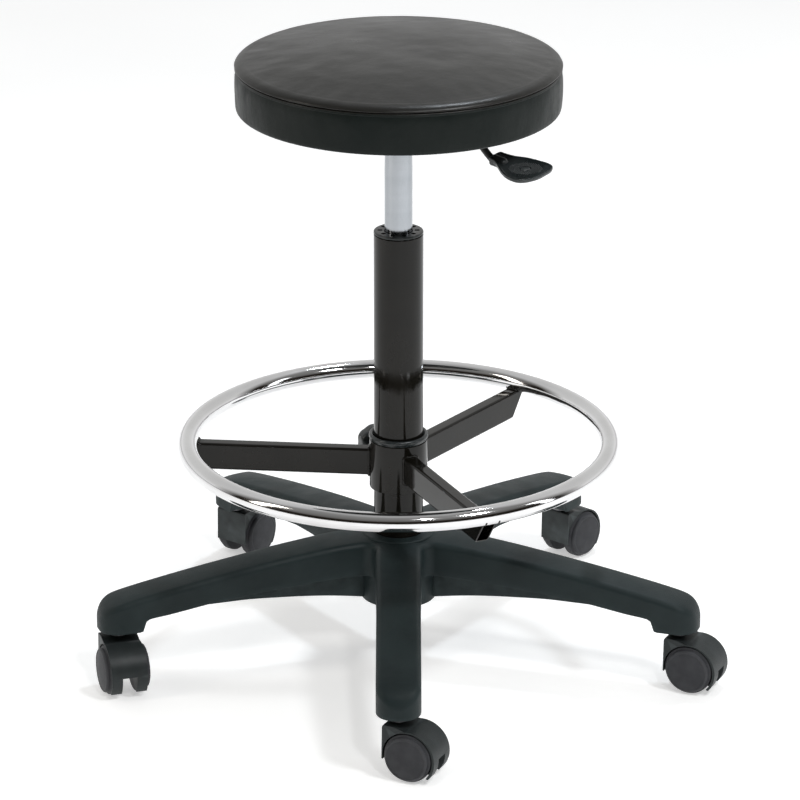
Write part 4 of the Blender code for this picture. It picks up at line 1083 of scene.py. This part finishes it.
def wheel_shape(side):
    """A wheel: rounded tread, a step, and a domed disc with a rim and a hub cap."""
    outline = [(0, 0.0006), (0.006, 0.0006), (0.0062, 0), (0.0215, 0), (0.0238, 0.0002),
               (0.0247, 0.0008), (0.02495, 0.0018), (WHEEL_RADIUS, 0.003), (WHEEL_RADIUS, 0.007),
               (0.02493, 0.008), (0.0245, 0.0088), (0.0238, 0.0093), (0.0231, 0.0095), (0.0228, 0.0099),
               (0.0228, 0.011), (0.0225, 0.0122),
               (0.0218, 0.0131), (0.0208, 0.01365), (0.02, 0.0136), (0.0196, 0.01335), (0.019, 0.0134),
               (0.017, 0.0139), (0.013, 0.0143), (0.008, 0.0146), (0, 0.0147)]
    wheel = moved(turned(outline, 72), Matrix.Translation((0, 0, 0.0094)))
    return moved(wheel, Matrix.Rotation(-side * pi / 2, 4, "X"))


def stem_shape():
    """The caster's pin with its collar and grip ring."""
    outline = [(0, 0.0456), (0.0055, 0.0456), (0.0055, 0.0585), (0.0089, 0.0585), (0.0095, 0.059),
               (0.0095, 0.0608), (0.0089, 0.0613), (0.0055, 0.0613), (0.0055, 0.077), (0.005, 0.0773),
               (0.005, 0.0782), (0.0054, 0.0787), (0.0054, 0.0799), (0.005, 0.0804), (0.005, 0.0808),
               (0.0055, 0.0811), (0.0055, 0.0846), (0.005, 0.0858), (0.0038, 0.0865), (0, 0.0865)]
    return turned(outline, 40)


def axle_shape():
    """The pin through both wheels."""
    half = 0.0189
    pin = turned([(0, -half), (0.0026, -half), (0.003, 0.0004 - half), (0.003, half - 0.0004),
                  (0.0026, half), (0, half)], 24)
    return moved(pin, Matrix.Rotation(pi / 2, 4, "X"))


def casters():
    """Five twin-wheel casters, each turned its own way."""
    shapes = {}
    for number, (azimuth, yaw) in enumerate(zip(LEG_AZIMUTHS, CASTER_YAWS), start=1):
        spot = direction(azimuth) * CASTER_REACH
        hub = spot + direction(yaw) * TRAIL + TOP * AXLE_HEIGHT
        plan = (("caster_cover", "caster_hood", hood_shape, HOOD, spot),
                ("caster_pin", "caster_stem", stem_shape, DARK_STEEL, spot),
                ("caster_wheel_pin", "caster_axle", axle_shape, DARK_STEEL, hub))
        for piece, node, shape, coat, place in plan:
            source = shapes.get(piece) or shape()
            made = add(f"{piece}_{number}", source, coat, f"{node}_{number}", location=place, yaw=yaw)
            shapes[piece] = made.data
            if piece == "caster_cover":
                bevelled(made, 0.0007)
        for letter, side in (("a", 1), ("b", -1)):
            source = shapes.get(letter) or wheel_shape(side)
            node = f"caster_wheel_{number}{letter}"
            made = add(f"twin_wheel_{number}{letter}", source, TREAD, node, location=hub, yaw=yaw)
            shapes[letter] = made.data


casters()


# ---------- CAD pieces that stay
def keep_cad():
    """Give every CAD node that still shows its detailed material, and round the edges of the seat plate and
    the taper socket a little.
    """
    kept = {"lower_thrust_washer": STEEL, "thrust_ball_cage": DARK_STEEL, "upper_thrust_washer": STEEL,
            "bumper": RUBBER, "piston_rod": STEEL, "rod_clip": DARK_STEEL, "release_pin": STEEL,
            "taper_socket": PAINT, "seat_plate": PAINT, "dust_cover": CLOTH, "seat_board": PLY,
            "lever_pivot_pin": DARK_STEEL}
    kept.update({f"seat_bolt_{k}": DARK_STEEL for k in range(1, 5)})
    for name, coat in kept.items():
        node = frame["nodes"][name]
        node.data.materials.clear()
        node.data.materials.append(coat)
    for name, width in (("seat_plate", 0.0007), ("taper_socket", 0.0008)):
        bevelled(frame["nodes"][name], width)


keep_cad()


# ---------- floor and light
def light(name, place, target, size, power, colour=(1, 1, 1)):
    """A soft rectangular light that faces a point."""
    data = bpy.data.lights.new(name, "AREA")
    data.shape = "RECTANGLE"
    data.size, data.size_y = size
    data.energy = power
    data.color = colour
    made = placed(name, data)
    made.location = place
    made.rotation_euler = (Vector(target) - Vector(place)).to_track_quat("-Z", "Y").to_euler()


def studio():
    """A pale floor, five soft lights and a sky that is dark on the camera's side and pale beyond it."""
    bm = bmesh.new()
    bmesh.ops.create_grid(bm, x_segments=1, y_segments=1, size=9)
    mesh = bpy.data.meshes.new("studio_floor")
    bm.to_mesh(mesh)
    bm.free()
    mesh.materials.append(FLOOR)
    floor = placed("studio_floor", mesh)
    floor.location = (0, 0, -0.0002)
    light("key", (1.39, -1.25, 2.42), (0, 0, 0.3), (0.42, 0.42), 26, (0.97, 0.985, 1))
    light("front", (0.57, -1.97, 2.39), (0, 0, 0.3), (0.16, 0.45), 13)
    light("back", (0.6, 1.1, 2.98), (0, 0, 0.5), (0.26, 0.26), 22, (0.86, 0.93, 1))
    light("left", (-2.4, -0.7, 1.5), (0, 0, 0.3), (0.4, 1.9), 12, (1, 0.95, 0.87))
    light("right", (2.5, -0.5, 1.2), (0, 0, 0.3), (0.3, 1.7), 5, (0.96, 0.98, 1))
    world = bpy.data.worlds.new("studio")
    world.use_nodes = True
    tree = world.node_tree
    link = tree.links.new
    source = tree.nodes.new("ShaderNodeTexCoord").outputs["Generated"]
    split = tree.nodes.new("ShaderNodeSeparateXYZ")
    link(source, split.inputs["Vector"])
    wall = ramp(tree, split.outputs["Z"], ((0, (0.55, 0.55, 0.55)), (0.12, (0.86, 0.86, 0.86)),
                                           (0.36, (0.7, 0.7, 0.69)), (0.85, (0.6, 0.6, 0.6)),
                                           (1, (0.45, 0.45, 0.45))))
    room = ramp(tree, split.outputs["Z"], ((0, (0.014, 0.011, 0.008)), (0.36, (0.02, 0.017, 0.014)),
                                           (0.5, (0.15, 0.145, 0.14)), (0.92, (0.26, 0.26, 0.255)),
                                           (1, (0.45, 0.45, 0.45))))
    side = ramp(tree, split.outputs["Y"], ((0, (0,) * 3), (0.3, (1,) * 3)))
    mix = tree.nodes.new("ShaderNodeMix")
    mix.data_type = "RGBA"
    link(side, mix.inputs["Factor"])
    link(room, mix.inputs["A"])
    link(wall, mix.inputs["B"])
    background = tree.nodes["Background"]
    link(mix.outputs["Result"], background.inputs["Color"])
    background.inputs["Strength"].default_value = 1
    bpy.context.scene.world = world
    bpy.context.scene.view_settings.view_transform = "Standard"


studio()
